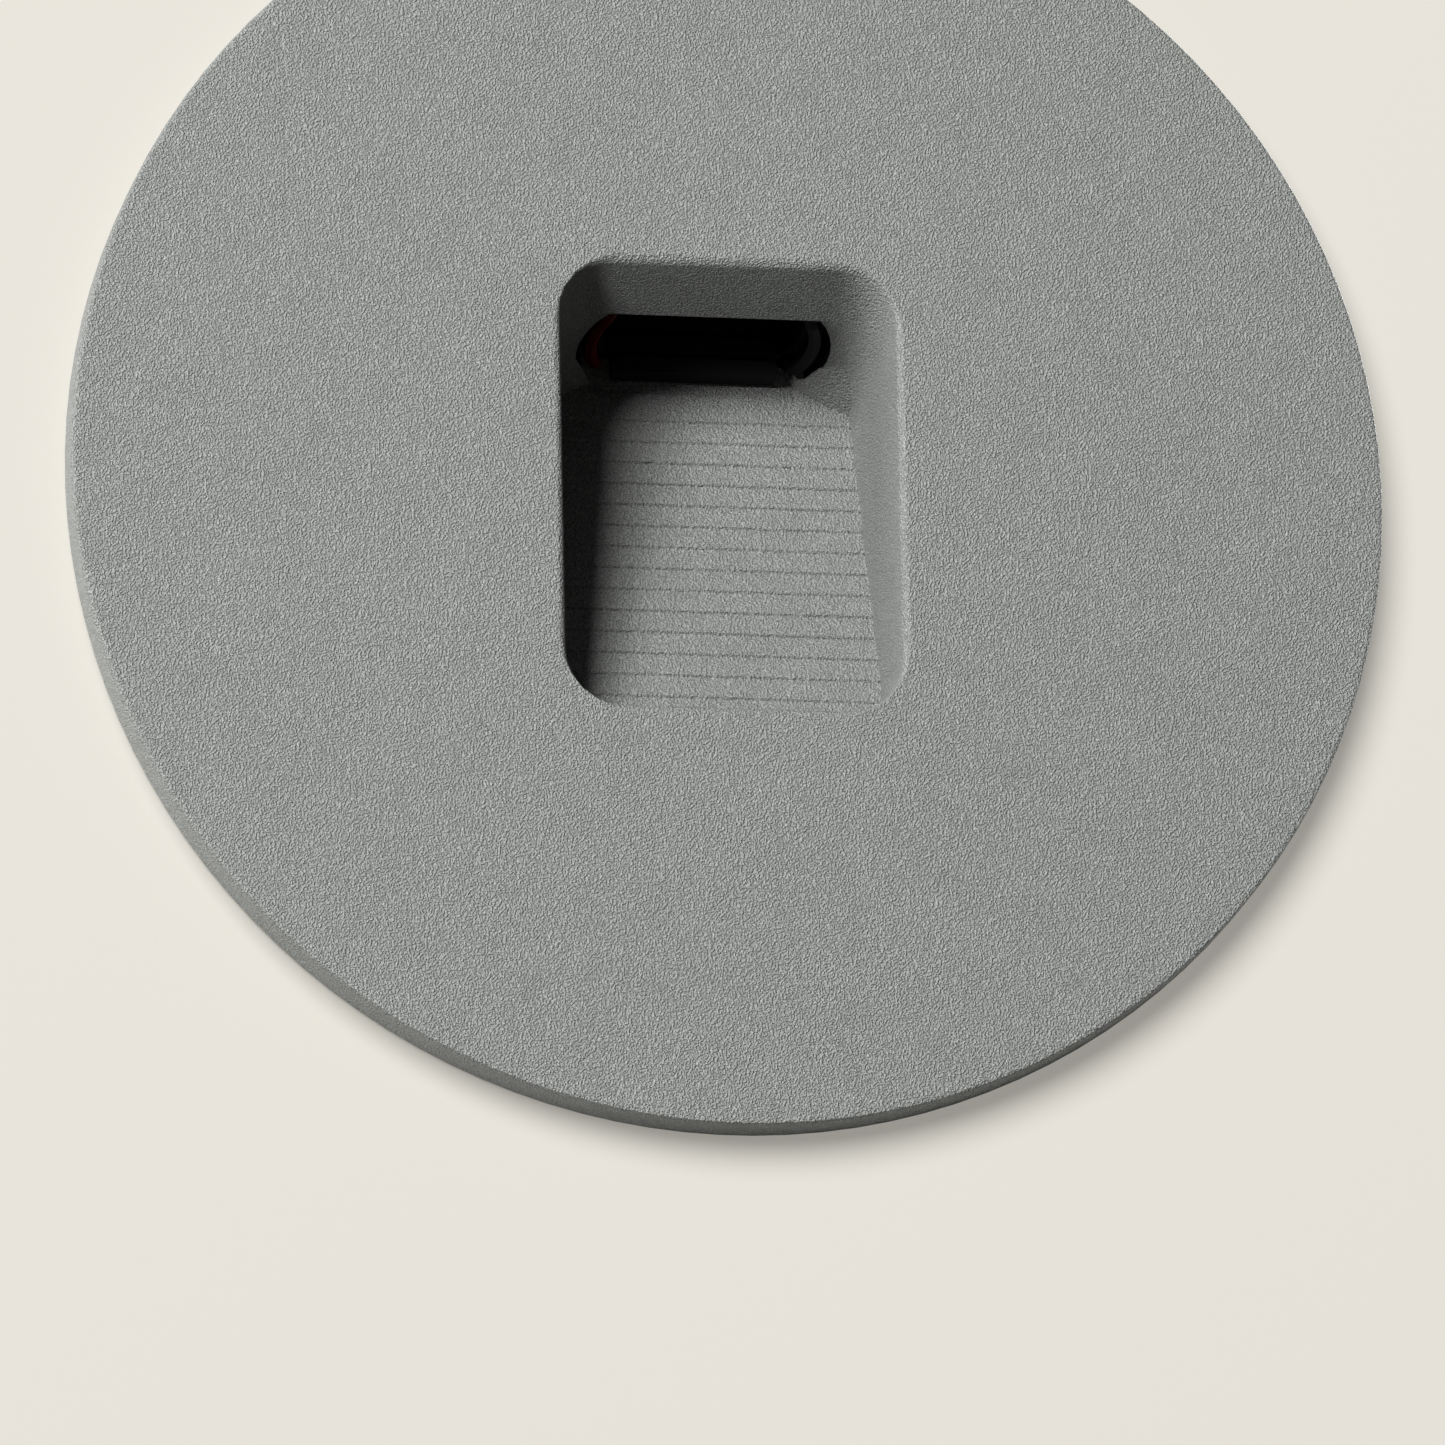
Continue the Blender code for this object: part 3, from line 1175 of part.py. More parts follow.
def capacitor():
    """A round can lying on the board, crimped near one end."""
    y = DRIVER_BOARD_FRONT - FIT_GAP - CAPACITOR_RADIUS
    half = CAPACITOR_LENGTH / 2
    crimp = CAPACITOR_RADIUS - CAPACITOR_CRIMP
    profile = [
        (0, half), (crimp, half), (CAPACITOR_RADIUS, half - CAPACITOR_CRIMP),
        (CAPACITOR_RADIUS, -half + CAPACITOR_CRIMP * 5), (crimp, -half + CAPACITOR_CRIMP * 4),
        (CAPACITOR_RADIUS, -half + CAPACITOR_CRIMP * 3), (CAPACITOR_RADIUS, -half), (0, -half),
    ]
    can = turned("capacitor", profile, "capacitor_sleeve", GLAND_SEGMENTS, "X")
    place(can, Matrix.Translation((CAPACITOR_X, y, CAPACITOR_Z)))


def choke():
    """A wound ring lying flat on the board, its winding shown by flutes."""
    rear = DRIVER_BOARD_FRONT - FIT_GAP
    low = rear - CHOKE_HEIGHT
    round_off = CHOKE_HEIGHT / 4
    profile = [
        (CHOKE_BORE, rear - round_off), (CHOKE_BORE + round_off, rear),
        (CHOKE_RADIUS - round_off, rear), (CHOKE_RADIUS, rear - round_off),
        (CHOKE_RADIUS, low + round_off), (CHOKE_RADIUS - round_off, low),
        (CHOKE_BORE + round_off, low), (CHOKE_BORE, low + round_off),
    ]
    ring = turned("choke", profile, "copper_wire", GLAND_SEGMENTS, "Y", ring=True)
    place(ring, Matrix.Translation((CHOKE_X, 0, CHOKE_Z)))


def lever_axis():
    """Where a lever turns: near the lower edge of the block, just inside its rear face."""
    y = DRIVER_BOARD_REAR + FIT_GAP + TERMINAL_DEPTH - LEVER_EYE_RADIUS
    z = TERMINAL_Z - TERMINAL_HEIGHT / 2 + LEVER_EYE_RADIUS + LEVER_THICKNESS
    return y, z


def pole_x(index):
    pitch = TERMINAL_WIDTH / len(TERMINAL_POLES)
    return (index - (len(TERMINAL_POLES) - 1) / 2) * pitch


def terminal_block():
    """Three poles, each with a wire hole above and a lever that lies in a trough."""
    front = DRIVER_BOARD_REAR + FIT_GAP
    rear = front + TERMINAL_DEPTH
    low_z = TERMINAL_Z - TERMINAL_HEIGHT / 2
    high_z = TERMINAL_Z + TERMINAL_HEIGHT / 2
    half = TERMINAL_WIDTH / 2
    block = box("terminal_block", (-half, front, low_z), (half, rear, high_z), "terminal_plastic")
    axis_y, axis_z = lever_axis()
    for index in range(len(TERMINAL_POLES)):
        x = pole_x(index)
        reach = LEVER_WIDTH / 2 + LEVER_RECESS_GAP
        trough_end = axis_z + LEVER_LENGTH + LEVER_RECESS_GAP
        cut(block, box(
            "lever_trough",
            (x - reach, rear - TERMINAL_RECESS_DEPTH - LEVER_RECESS_GAP, low_z - CUT_OVERRUN),
            (x + reach, rear + CUT_OVERRUN, trough_end),
            None,
        ))
        hole = cylinder(
            "wire_hole", TERMINAL_WIRE_HOLE, high_z - TERMINAL_HEIGHT / 2, high_z + CUT_OVERRUN,
            None, SCREW_SEGMENTS, "Z",
        )
        middle = front + (TERMINAL_DEPTH - TERMINAL_RECESS_DEPTH) / 2
        cut(block, place(hole, Matrix.Translation((x, middle, 0))))


def terminal_levers():
    """One lever a pole, each turning on its own axis along x."""
    axis_y, axis_z = lever_axis()
    eye = arc((0, 0), LEVER_EYE_RADIUS, 0, -math.pi * 4 / 3, CORNER_STEPS)
    top = LEVER_EYE_RADIUS
    grip = LEVER_THICKNESS / 2
    outline = [
        *eye,
        (top - LEVER_THICKNESS, LEVER_EYE_RADIUS),
        (top - LEVER_THICKNESS, LEVER_LENGTH - grip),
        (top - grip, LEVER_LENGTH),
        (top + grip, LEVER_LENGTH),
        (top + grip, LEVER_LENGTH - LEVER_THICKNESS),
        (top, LEVER_LENGTH - LEVER_THICKNESS - grip),
    ]
    for index, pole in enumerate(TERMINAL_POLES):
        lever = prism(
            f"terminal_lever_{pole}", outline, -LEVER_WIDTH / 2, LEVER_WIDTH / 2, None, "YZ",
        )
        lever.data.materials.append(MATERIALS["orange_plastic"])
        place(lever, Matrix.Translation((pole_x(index), axis_y, axis_z)))


# Rear cover and cable gland

def rear_cover():
    low, high = REAR_COVER_FRONT, REAR_COVER_REAR
    edge_centre = (HOUSING_RADIUS - REAR_COVER_EDGE_RADIUS, high - REAR_COVER_EDGE_RADIUS)
    edge = arc(edge_centre, REAR_COVER_EDGE_RADIUS, math.pi / 2, 0, 3)
    pad = high + COVER_PAD_HEIGHT
    profile = [
        (0, pad), (COVER_PAD_RADIUS - COVER_PAD_HEIGHT, pad), (COVER_PAD_RADIUS, high), *edge,
        (HOUSING_RADIUS, low), (0, low),
    ]
    cover = turned("rear_cover", profile, "cast_aluminium", HOUSING_SEGMENTS)
    gland_radius = GLAND_THREAD_RADIUS + FIT_GAP
    cut(cover, hole_at("gland_hole", gland_radius, low - CUT_OVERRUN, pad + CUT_OVERRUN, 0, 0))
    outer = HOUSING_RADIUS - REAR_SEAL_MARGIN
    inner = HOUSING_BORE + REAR_SEAL_MARGIN
    tube_ring(
        "rear_seal", inner, outer, HOUSING_REAR + FIT_GAP, HOUSING_REAR + FIT_GAP + REAR_SEAL_THICKNESS,
        "black_rubber", HOUSING_SEGMENTS // 2,
    )
    for index, angle in enumerate(even_angles(COVER_POST_COUNT, COVER_POST_START)):
        x, z = on_circle(COVER_POST_CIRCLE, angle)
        screw_radius = SMALL_SCREW_SHANK + FIT_GAP
        cut(cover, hole_at("cover_hole", screw_radius, low - CUT_OVERRUN, high + CUT_OVERRUN, x, z))
        seat = high + FIT_GAP
        length = seat - HOUSING_REAR + SMALL_SCREW_BITE
        headed_pin(
            f"cover_screw_{index + 1}", SMALL_SCREW_SHANK, length, SMALL_SCREW_HEAD,
            SMALL_SCREW_HEAD_HEIGHT, facing((x, seat, z), (0, 1, 0)), "zinc_steel",
        )


def hexagon(radius):
    return arc((0, 0), radius, 0, math.tau, 6)[:-1]


def cable_gland():
    """A gland for the supply cable: body, locknut, rubber seal and domed nut."""
    seat = REAR_COVER_REAR + COVER_PAD_HEIGHT + FIT_GAP
    hex_end = seat + GLAND_HEX_LENGTH
    neck_end = hex_end + GLAND_NECK_LENGTH
    inner_end = REAR_COVER_FRONT - GLAND_INNER_LENGTH
    seal_seat = neck_end - GLAND_SEAL_LENGTH
    bore = GLAND_BORE + GLAND_SEAL_WALL + FIT_GAP
    profile = [
        (GLAND_BORE, seal_seat), (bore, seal_seat), (bore, neck_end), (GLAND_THREAD_RADIUS, neck_end),
        (GLAND_THREAD_RADIUS, hex_end), (GLAND_HEX_RADIUS, hex_end), (GLAND_HEX_RADIUS, seat),
        (GLAND_THREAD_RADIUS, seat), (GLAND_THREAD_RADIUS, inner_end), (GLAND_BORE, inner_end),
    ]
    body = turned("gland_body", profile, "gland_plastic", GLAND_SEGMENTS, "Y", ring=True)
    trim_to_hexagon(body, GLAND_HEX_RADIUS, inner_end, neck_end)
    nut_low = REAR_COVER_FRONT - FIT_GAP - LOCKNUT_THICKNESS
    locknut = prism(
        "gland_locknut", hexagon(GLAND_HEX_RADIUS), nut_low, nut_low + LOCKNUT_THICKNESS, None, "XZ",
        holes=[full_circle(GLAND_THREAD_RADIUS + FIT_GAP, GLAND_SEGMENTS)],
    )
    locknut.data.materials.append(MATERIALS["zinc_steel"])
    tube_ring(
        "gland_seal", GLAND_BORE, GLAND_BORE + GLAND_SEAL_WALL, seal_seat + FIT_GAP, neck_end + FIT_GAP,
        "black_rubber", GLAND_SEGMENTS,
    )
    nut_start = hex_end + FIT_GAP
    nut_end = nut_start + GLAND_NUT_LENGTH
    inside = GLAND_THREAD_RADIUS + FIT_GAP
    stop = neck_end + FIT_GAP + FIT_GAP
    dome_centre = (GLAND_NUT_RADIUS - GLAND_NUT_DOME, nut_end - GLAND_NUT_DOME)
    dome = arc(dome_centre, GLAND_NUT_DOME, math.pi / 2, 0, 3)
    nut_profile = [
        (GLAND_NUT_MOUTH, nut_end), *dome, (GLAND_NUT_RADIUS, nut_start),
        (inside, nut_start), (inside, stop), (GLAND_NUT_MOUTH, stop),
    ]
    nut = turned("gland_nut", nut_profile, "gland_plastic", GLAND_SEGMENTS, "Y", ring=True)
    trim_to_hexagon(nut, GLAND_NUT_RADIUS, nut_start, nut_end)


def trim_to_hexagon(thing, radius, low, high):
    """Gives the widest part of a turned piece its spanner flats."""
    outline = hexagon(radius + FIT_GAP)
    tool = prism("flats", outline, low - CUT_OVERRUN, high + CUT_OVERRUN, None, "XZ")
    boolean(thing, tool, "INTERSECT")


# Sprung clips

def mirrored(side):
    """Half a turn about y for the left-hand clip, so that both clips share one set of shapes."""
    return Matrix.Identity(4) if side > 0 else Matrix.Rotation(math.pi, 4, "Y")


def clip_pad(side):
    inner = HOUSING_RADIUS - ROOT_OVERLAP * 2
    pad = box(
        "clip_pad", (inner, CLIP_PAD_FRONT, -CLIP_PAD_HALF_HEIGHT),
        (CLIP_PAD_X, CLIP_PAD_REAR, CLIP_PAD_HALF_HEIGHT), None,
    )
    return place(pad, mirrored(side))


def rivet_places():
    return BRACKET_FRONT + RIVET_INSET, BRACKET_REAR - RIVET_INSET


def rivet_hole_span():
    return HOUSING_BORE - CUT_OVERRUN, CLIP_PAD_X + CUT_OVERRUN


def clip_bracket(side, name):
    """A folded steel bracket: a base plate riveted to the housing and two cheeks for the pin."""
    base = CLIP_PAD_X + FIT_GAP
    top = base + BRACKET_THICKNESS
    bracket = box(
        f"{name}_bracket", (base, BRACKET_FRONT, -BRACKET_HALF_HEIGHT),
        (top, BRACKET_REAR, BRACKET_HALF_HEIGHT), "zinc_steel",
    )
    place(bracket, mirrored(side))
    radius = BRACKET_CHEEK_RADIUS
    cheek = [
        (base, CLIP_PIVOT_Y - radius * 2), (top, CLIP_PIVOT_Y - radius * 2),
        *arc((CLIP_PIVOT_X, CLIP_PIVOT_Y), radius, -math.pi / 2, math.pi / 2, CORNER_STEPS),
        (top, CLIP_PIVOT_Y + radius * 2), (base, CLIP_PIVOT_Y + radius * 2),
    ]
    inner = BRACKET_HALF_HEIGHT - BRACKET_THICKNESS
    for low, high in ((inner, BRACKET_HALF_HEIGHT), (-BRACKET_HALF_HEIGHT, -inner)):
        join(bracket, place(prism("cheek", cheek, low, high, None), mirrored(side)))
    reach = BRACKET_HALF_HEIGHT + CUT_OVERRUN
    pin_hole = cylinder("pin_hole", PIN_RADIUS + FIT_GAP, -reach, reach, None, SCREW_SEGMENTS, "Z")
    shift = Matrix.Translation((CLIP_PIVOT_X, CLIP_PIVOT_Y, 0))
    cut(bracket, place(pin_hole, mirrored(side) @ shift))
    for end, y in zip(("front", "rear"), rivet_places()):
        hole = cylinder("rivet_way", RIVET_SHANK + FIT_GAP, *rivet_hole_span(), None, SCREW_SEGMENTS, "X")
        place(hole, mirrored(side) @ Matrix.Translation((CUT_OVERRUN, y, 0)))
        cut(bracket, hole)
        seat = top + FIT_GAP
        length = seat - HOUSING_RADIUS + HOUSING_WALL
        matrix = mirrored(side) @ facing((seat, y, 0), (1, 0, 0))
        headed_pin(
            f"{name}_rivet_{end}", RIVET_SHANK, length, RIVET_HEAD_RADIUS, RIVET_HEAD_HEIGHT,
            matrix, "zinc_steel", socket=False,
        )
    half = BRACKET_HALF_HEIGHT + FIT_GAP
    length = half + half + PIN_HEAD_LENGTH
    matrix = mirrored(side) @ facing((CLIP_PIVOT_X, CLIP_PIVOT_Y, half), (0, 0, 1))
    headed_pin(
        f"{name}_pin", PIN_RADIUS, length, PIN_HEAD_RADIUS, PIN_HEAD_LENGTH, matrix, "zinc_steel",
        socket=False,
    )


def coil_points(side_z, start_angle):
    """One coil of the spring about the pivot, from its inner end to where the arm leaves."""
    pitch = SPRING_WIRE_RADIUS * 2 + SPRING_TURN_GAP
    total = SPRING_TURNS * SPRING_TURN_POINTS
    points = []
    for step in range(total + 1):
        share = step / total
        angle = start_angle - math.tau * SPRING_TURNS * (1 - share)
        height = SPRING_CENTRE_GAP + SPRING_WIRE_RADIUS + pitch * SPRING_TURNS * share
        points.append(Vector((
            SPRING_COIL_RADIUS * math.cos(angle), SPRING_COIL_RADIUS * math.sin(angle), side_z * height,
        )))
    return points


def spring_points():
    """The whole wire: a coil, an arm out to the tip, a cross bar, and back to the other coil."""
    tip = Vector((
        SPRING_TIP_X - CLIP_PIVOT_X,
        WALL_BOARD_THICKNESS + FIT_GAP + SLEEVE_OUTER - CLIP_PIVOT_Y,
        0,
    ))
    reach = math.hypot(tip.x, tip.y)
    heading = math.atan2(tip.y, tip.x) + math.asin(SPRING_COIL_RADIUS / reach)
    leave = heading - math.pi / 2
    upper = coil_points(1, leave)
    along = Vector((math.cos(heading), math.sin(heading), 0))
    top = upper[-1].z
    corner = SPRING_CORNER_RADIUS
    arm = math.sqrt(reach ** 2 - SPRING_COIL_RADIUS ** 2)
    bend_start = upper[-1] + along * (arm - corner)
    middle = upper[-1] + along * (arm - corner) - Vector((0, 0, corner))
    bend = [
        middle + along * corner * math.sin(angle) + Vector((0, 0, corner * math.cos(angle)))
        for angle in (math.pi / 2 * step / 4 for step in range(1, 5))
    ]
    half = upper + [upper[-1] + along * arm / 2, bend_start] + bend
    other = [Vector((point.x, point.y, -point.z)) for point in reversed(half)]
    return half + other, half[-1]


def least_gap_to_itself(points, radius):
    """The least clear gap between stretches of the wire that aren't neighbours along it."""
    window = SPRING_TURN_POINTS // 2 + 2
    least = math.inf
    for i, point in enumerate(points):
        for other in points[i + window:]:
            least = min(least, (point - other).length - 2 * radius)
    return least


def clip_spring(side, name):
    points, tip = spring_points()
    print(name, "spring wire, least gap to itself in mm:",
          round(least_gap_to_itself(points, SPRING_WIRE_RADIUS) / MM, 3))
    shift = mirrored(side) @ Matrix.Translation((CLIP_PIVOT_X, CLIP_PIVOT_Y, 0))
    place(wire(f"{name}_spring", points, SPRING_WIRE_RADIUS, "spring_steel"), shift)
    half = SLEEVE_LENGTH / 2
    inner = SPRING_WIRE_RADIUS + SLEEVE_CLEARANCE
    sleeve = tube_ring(
        f"{name}_sleeve", inner, SLEEVE_OUTER, -half, half, "black_rubber", SCREW_SEGMENTS, "Z",
    )
    place(sleeve, shift @ Matrix.Translation((tip.x, tip.y, 0)))


def build():
    front_plate()
    plate_seals()
    housing()
    plate_screws()
    glare_baffle()
    lens_stack()
    led_board()
    engine_cap()
    engine_screws()
    leads()
    driver_board()
    transformer()
    capacitor()
    choke()
    terminal_block()
    terminal_levers()
    rear_cover()
    cable_gland()
    for side, name in ((-1, "left_clip"), (1, "right_clip")):
        clip_bracket(side, name)
        clip_spring(side, name)
    for thing in PARTS.objects:
        if thing.type == "MESH":
            smooth(thing.data)


build()
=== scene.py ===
import json
import math

import bmesh
import bpy
from mathutils import Matrix, Vector


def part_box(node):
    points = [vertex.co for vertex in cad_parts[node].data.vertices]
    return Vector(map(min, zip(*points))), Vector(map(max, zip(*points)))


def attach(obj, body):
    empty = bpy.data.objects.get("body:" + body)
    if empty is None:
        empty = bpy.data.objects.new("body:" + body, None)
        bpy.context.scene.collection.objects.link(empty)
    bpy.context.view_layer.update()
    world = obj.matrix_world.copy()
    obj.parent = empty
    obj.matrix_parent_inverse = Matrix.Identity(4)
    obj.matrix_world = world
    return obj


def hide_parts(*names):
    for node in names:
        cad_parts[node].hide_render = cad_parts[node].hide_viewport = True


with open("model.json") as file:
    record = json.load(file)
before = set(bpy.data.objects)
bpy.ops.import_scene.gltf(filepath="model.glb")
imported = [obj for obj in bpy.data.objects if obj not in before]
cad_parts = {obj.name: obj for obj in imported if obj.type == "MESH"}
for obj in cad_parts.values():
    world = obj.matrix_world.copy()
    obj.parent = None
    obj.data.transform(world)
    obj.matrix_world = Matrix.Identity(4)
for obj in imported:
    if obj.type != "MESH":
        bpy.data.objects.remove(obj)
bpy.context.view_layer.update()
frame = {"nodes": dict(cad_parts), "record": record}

# Lengths are in millimetres, and MM makes them metres. The camera's clip distances, the wall, the
# floor and the lamps are given in metres.
MM = 0.001
LIGHT = "light"


# Camera at the photograph's place

CAMERA_PLACE = Vector((-214.308, -1135.491, -336.244)) * MM
CAMERA_RIGHT = Vector((0.98346791, -0.18014214, -0.01843048))
CAMERA_AHEAD = Vector((0.178518, 0.94743665, 0.26550916))
CAMERA_UP = Vector((-0.03036768, -0.26440991, 0.96393216))
FOCAL_PIXELS = 16000
PHOTO_PIXELS = 1445
SENSOR_MM = 36
CLIP_START = 0.02
CLIP_END = 20


def add_camera():
    data = bpy.data.cameras.new("camera")
    data.sensor_width = SENSOR_MM
    data.lens = SENSOR_MM * FOCAL_PIXELS / PHOTO_PIXELS
    data.clip_start = CLIP_START
    data.clip_end = CLIP_END
    camera = bpy.data.objects.new("camera", data)
    turn = Matrix((CAMERA_RIGHT, CAMERA_UP, -CAMERA_AHEAD)).transposed()
    camera.matrix_world = Matrix.Translation(CAMERA_PLACE) @ turn.to_4x4()
    bpy.context.scene.collection.objects.link(camera)
    bpy.context.scene.camera = camera


# Node groups for effects that several finishes share

class Graph:
    """A node tree with short calls to add nodes and join them."""

    def __init__(self, tree):
        self.tree = tree

    def node(self, kind, **settings):
        node = self.tree.nodes.new(kind)
        for name, value in settings.items():
            setattr(node, name, value)
        return node

    def feed(self, socket, value):
        if isinstance(value, bpy.types.NodeSocket):
            self.tree.links.new(value, socket)
        else:
            socket.default_value = value

    def combine(self, operation, first, second):
        node = self.node("ShaderNodeMath", operation=operation)
        self.feed(node.inputs[0], first)
        self.feed(node.inputs[1], second)
        return node.outputs[0]

    def plus(self, first, second):
        return self.combine("ADD", first, second)

    def minus(self, first, second):
        return self.combine("SUBTRACT", first, second)

    def times(self, first, second):
        return self.combine("MULTIPLY", first, second)

    def noise(self, vector, scale, detail=2.0, roughness=0.5):
        node = self.node("ShaderNodeTexNoise")
        self.feed(node.inputs["Vector"], vector)
        self.feed(node.inputs["Scale"], scale)
        self.feed(node.inputs["Detail"], detail)
        self.feed(node.inputs["Roughness"], roughness)
        return node.outputs["Fac"]

    def cells(self, vector, scale):
        node = self.node("ShaderNodeTexVoronoi")
        self.feed(node.inputs["Vector"], vector)
        self.feed(node.inputs["Scale"], scale)
        return node.outputs["Distance"]

    def spread(self, value, low, high, to_low=0.0, to_high=1.0):
        node = self.node("ShaderNodeMapRange", interpolation_type="SMOOTHSTEP")
        for index, item in enumerate((value, low, high, to_low, to_high)):
            self.feed(node.inputs[index], item)
        return node.outputs[0]

    def blend(self, share, first, second):
        node = self.node("ShaderNodeMix", data_type="RGBA")
        self.feed(node.inputs["Factor"], share)
        self.feed(node.inputs["A"], first)
        self.feed(node.inputs["B"], second)
        return node.outputs["Result"]

    def stretch(self, vector, scale):
        node = self.node("ShaderNodeMapping")
        self.feed(node.inputs["Vector"], vector)
        self.feed(node.inputs["Scale"], scale)
        return node.outputs["Vector"]

    def group(self, name, **inputs):
        node = self.node("ShaderNodeGroup", node_tree=bpy.data.node_groups[name])
        for key, value in inputs.items():
            self.feed(node.inputs[key], value)
        return node.outputs


def new_group(name, inputs, outputs):
    """An empty group; an input is a vector where its default is None, or else a number.

    Returns the group's graph, its inputs and its output node's sockets.
    """
    tree = bpy.data.node_groups.new(name, "ShaderNodeTree")
    for title, default in inputs.items():
        kind = "NodeSocketVector" if default is None else "NodeSocketFloat"
        socket = tree.interface.new_socket(title, in_out="INPUT", socket_type=kind)
        if default is not None:
            socket.default_value = default
    for title in outputs:
        tree.interface.new_socket(title, in_out="OUTPUT", socket_type="NodeSocketFloat")
    graph = Graph(tree)
    return graph, graph.node("NodeGroupInput").outputs, graph.node("NodeGroupOutput").inputs


# Powder coat: scales of fine grain, fleck cells and fleck patches are shares of the grain's scale
FINE_SCALE = 1.9
FLECK_SCALE = 0.42
PATCH_SCALE = 0.3
CLOUD_SCALE = 0.35
LUMP_RANGE = (0.30, 0.70)
SPECKLE_RANGE = (0.28, 0.72)
FLECK_RANGE = (0.09, 0.15)
PATCH_RANGE = (0.52, 0.62)
LUMP_HEIGHT = 0.8
FINE_HEIGHT = 0.3
SPECKLE_TONE = 0.62
LUMP_TONE = 0.26
CLOUD_TONE = 0.12


def powder_grain_group():
    """Grain of a fine-texture powder coat: lumps that merge, with bright flecks here and there."""
    graph, given, out = new_group(
        "powder_grain", {"Vector": None, "Grain": 4.0, "Flecks": 0.5}, ("Height", "Tone", "Fleck"),
    )
    place = given["Vector"]
    grain = given["Grain"]
    fine = graph.noise(place, graph.times(grain, FINE_SCALE), detail=0.0)
    lumps = graph.spread(graph.noise(place, grain, detail=1.0), *LUMP_RANGE)
    height = graph.plus(graph.times(lumps, LUMP_HEIGHT), graph.times(fine, FINE_HEIGHT))
    speckle = graph.spread(fine, *SPECKLE_RANGE)
    pigment = graph.plus(graph.times(speckle, SPECKLE_TONE), graph.times(lumps, LUMP_TONE))
    clouds = graph.noise(place, CLOUD_SCALE)
    graph.feed(out["Height"], height)
    graph.feed(out["Tone"], graph.plus(pigment, graph.times(clouds, CLOUD_TONE)))
    specks = graph.cells(place, graph.times(grain, FLECK_SCALE))
    small = graph.spread(specks, *FLECK_RANGE, 1.0, 0.0)
    patches = graph.noise(place, graph.times(grain, PATCH_SCALE), detail=0.0)
    chosen = graph.spread(patches, *PATCH_RANGE)
    graph.feed(out["Fleck"], graph.times(graph.times(small, chosen), given["Flecks"]))


# Die casting: flow marks, grain and pits
FLOW_SCALE = 0.22
CAST_GRAIN_SCALE = 3.2
CAST_GRAIN_HEIGHT = 0.35
PIT_SCALE = 1.1
PIT_RANGE = (0.04, 0.16)
STAIN_RANGE = (0.35, 0.7)


def cast_skin_group():
    """The skin of a die casting: faint flow marks, fine pits and a little stain."""
    graph, given, out = new_group(
        "cast_skin", {"Vector": None, "Pitting": 0.5}, ("Height", "Stain"),
    )
    place = given["Vector"]
    flow = graph.noise(place, FLOW_SCALE, detail=4.0, roughness=0.55)
    grain = graph.noise(place, CAST_GRAIN_SCALE, roughness=0.6)
    pits = graph.spread(graph.cells(place, PIT_SCALE), *PIT_RANGE)
    sunk = graph.times(graph.minus(1.0, pits), given["Pitting"])
    skin = graph.plus(flow, graph.times(grain, CAST_GRAIN_HEIGHT))
    graph.feed(out["Height"], graph.minus(skin, sunk))
    graph.feed(out["Stain"], graph.spread(flow, *STAIN_RANGE))


# Moulded pieces: dust lies where its clouds are dense and the texture is low
DUST_SCALE = 0.3
DUST_RANGE = (0.45, 0.75)
HOLLOW_RANGE = (0.6, 0.35)


def moulded_skin_group():
    """Spark-eroded texture of a moulded piece, with a little dust in its hollows."""
    graph, given, out = new_group(
        "moulded_skin", {"Vector": None, "Size": 4.0}, ("Height", "Dust"),
    )
    place = given["Vector"]
    spark = graph.noise(place, given["Size"], detail=3.0, roughness=0.65)
    clouds = graph.spread(graph.noise(place, DUST_SCALE, detail=3.0), *DUST_RANGE)
    hollows = graph.spread(spark, *HOLLOW_RANGE)
    graph.feed(out["Height"], spark)
    graph.feed(out["Dust"], graph.times(clouds, hollows))


# Drawn and plated metal
LINE_STRETCH = (0.35, 0.35, 3.0)
SHADE_SCALE = 0.6


def drawn_metal_group():
    """Fine lines and small scratches of drawn or turned and plated metal."""
    graph, given, out = new_group(
        "drawn_metal", {"Vector": None, "Lines": 6.0}, ("Height", "Shade"),
    )
    place = given["Vector"]
    lines = graph.noise(
        graph.stretch(place, LINE_STRETCH), given["Lines"], detail=3.0, roughness=0.6,
    )
    clouds = graph.noise(place, SHADE_SCALE, detail=3.0, roughness=0.55)
    graph.feed(out["Height"], lines)
    graph.feed(out["Shade"], graph.plus(graph.times(lines, 0.5), graph.times(clouds, 0.5)))


# Finishes: one for each of the record's material slots, and two more that paint shade on places on
# the plate

MATERIALS = {}
BLACK = (0, 0, 0)
USUAL_GLEAM = 0.5
TONE_RANGE = (0.2, 0.8)

COAT_GRAIN = 6.2
COAT_DEPTH = 0.13
COAT_ROUGHNESS = (0.56, 0.44)
FLECK_COLOUR = (0.62, 0.63, 0.60)

CAST_PITTING = 0.35
CAST_DEPTH = 0.05
CAST_SMOOTHER = 0.05
CAST_ROUGHER = 0.1

DUST_COLOUR = (0.45, 0.44, 0.41)

PLATED_DEPTH = 0.004
PLATED_ROUGHER = 0.14

LENS_COLOUR = (0.95, 0.97, 0.97)
LENS_CLEARNESS = 0.9
LENS_INDEX = 1.49
LENS_CLOUD_SCALE = 1.2
LENS_CLOUD_RANGE = (0.3, 0.8)
LENS_ROUGHNESS = (0.04, 0.12)

# Share of its colour that the coat loses for light on its way to another surface, so that the
# recess's shadow is as deep as in the photograph
BOUNCE_LOSS = 0.6


def new_material(name):
    """A material with object coordinates in millimetres.

    Returns its graph, its shader and the coordinates.
    """
    material = bpy.data.materials.new(name)
    material.use_nodes = True
    graph = Graph(material.node_tree)
    shader = material.node_tree.nodes["Principled BSDF"]
    place = graph.node("ShaderNodeTexCoord").outputs["Object"]
    MATERIALS[name] = material
    return graph, shader, graph.stretch(place, (1 / MM, 1 / MM, 1 / MM))


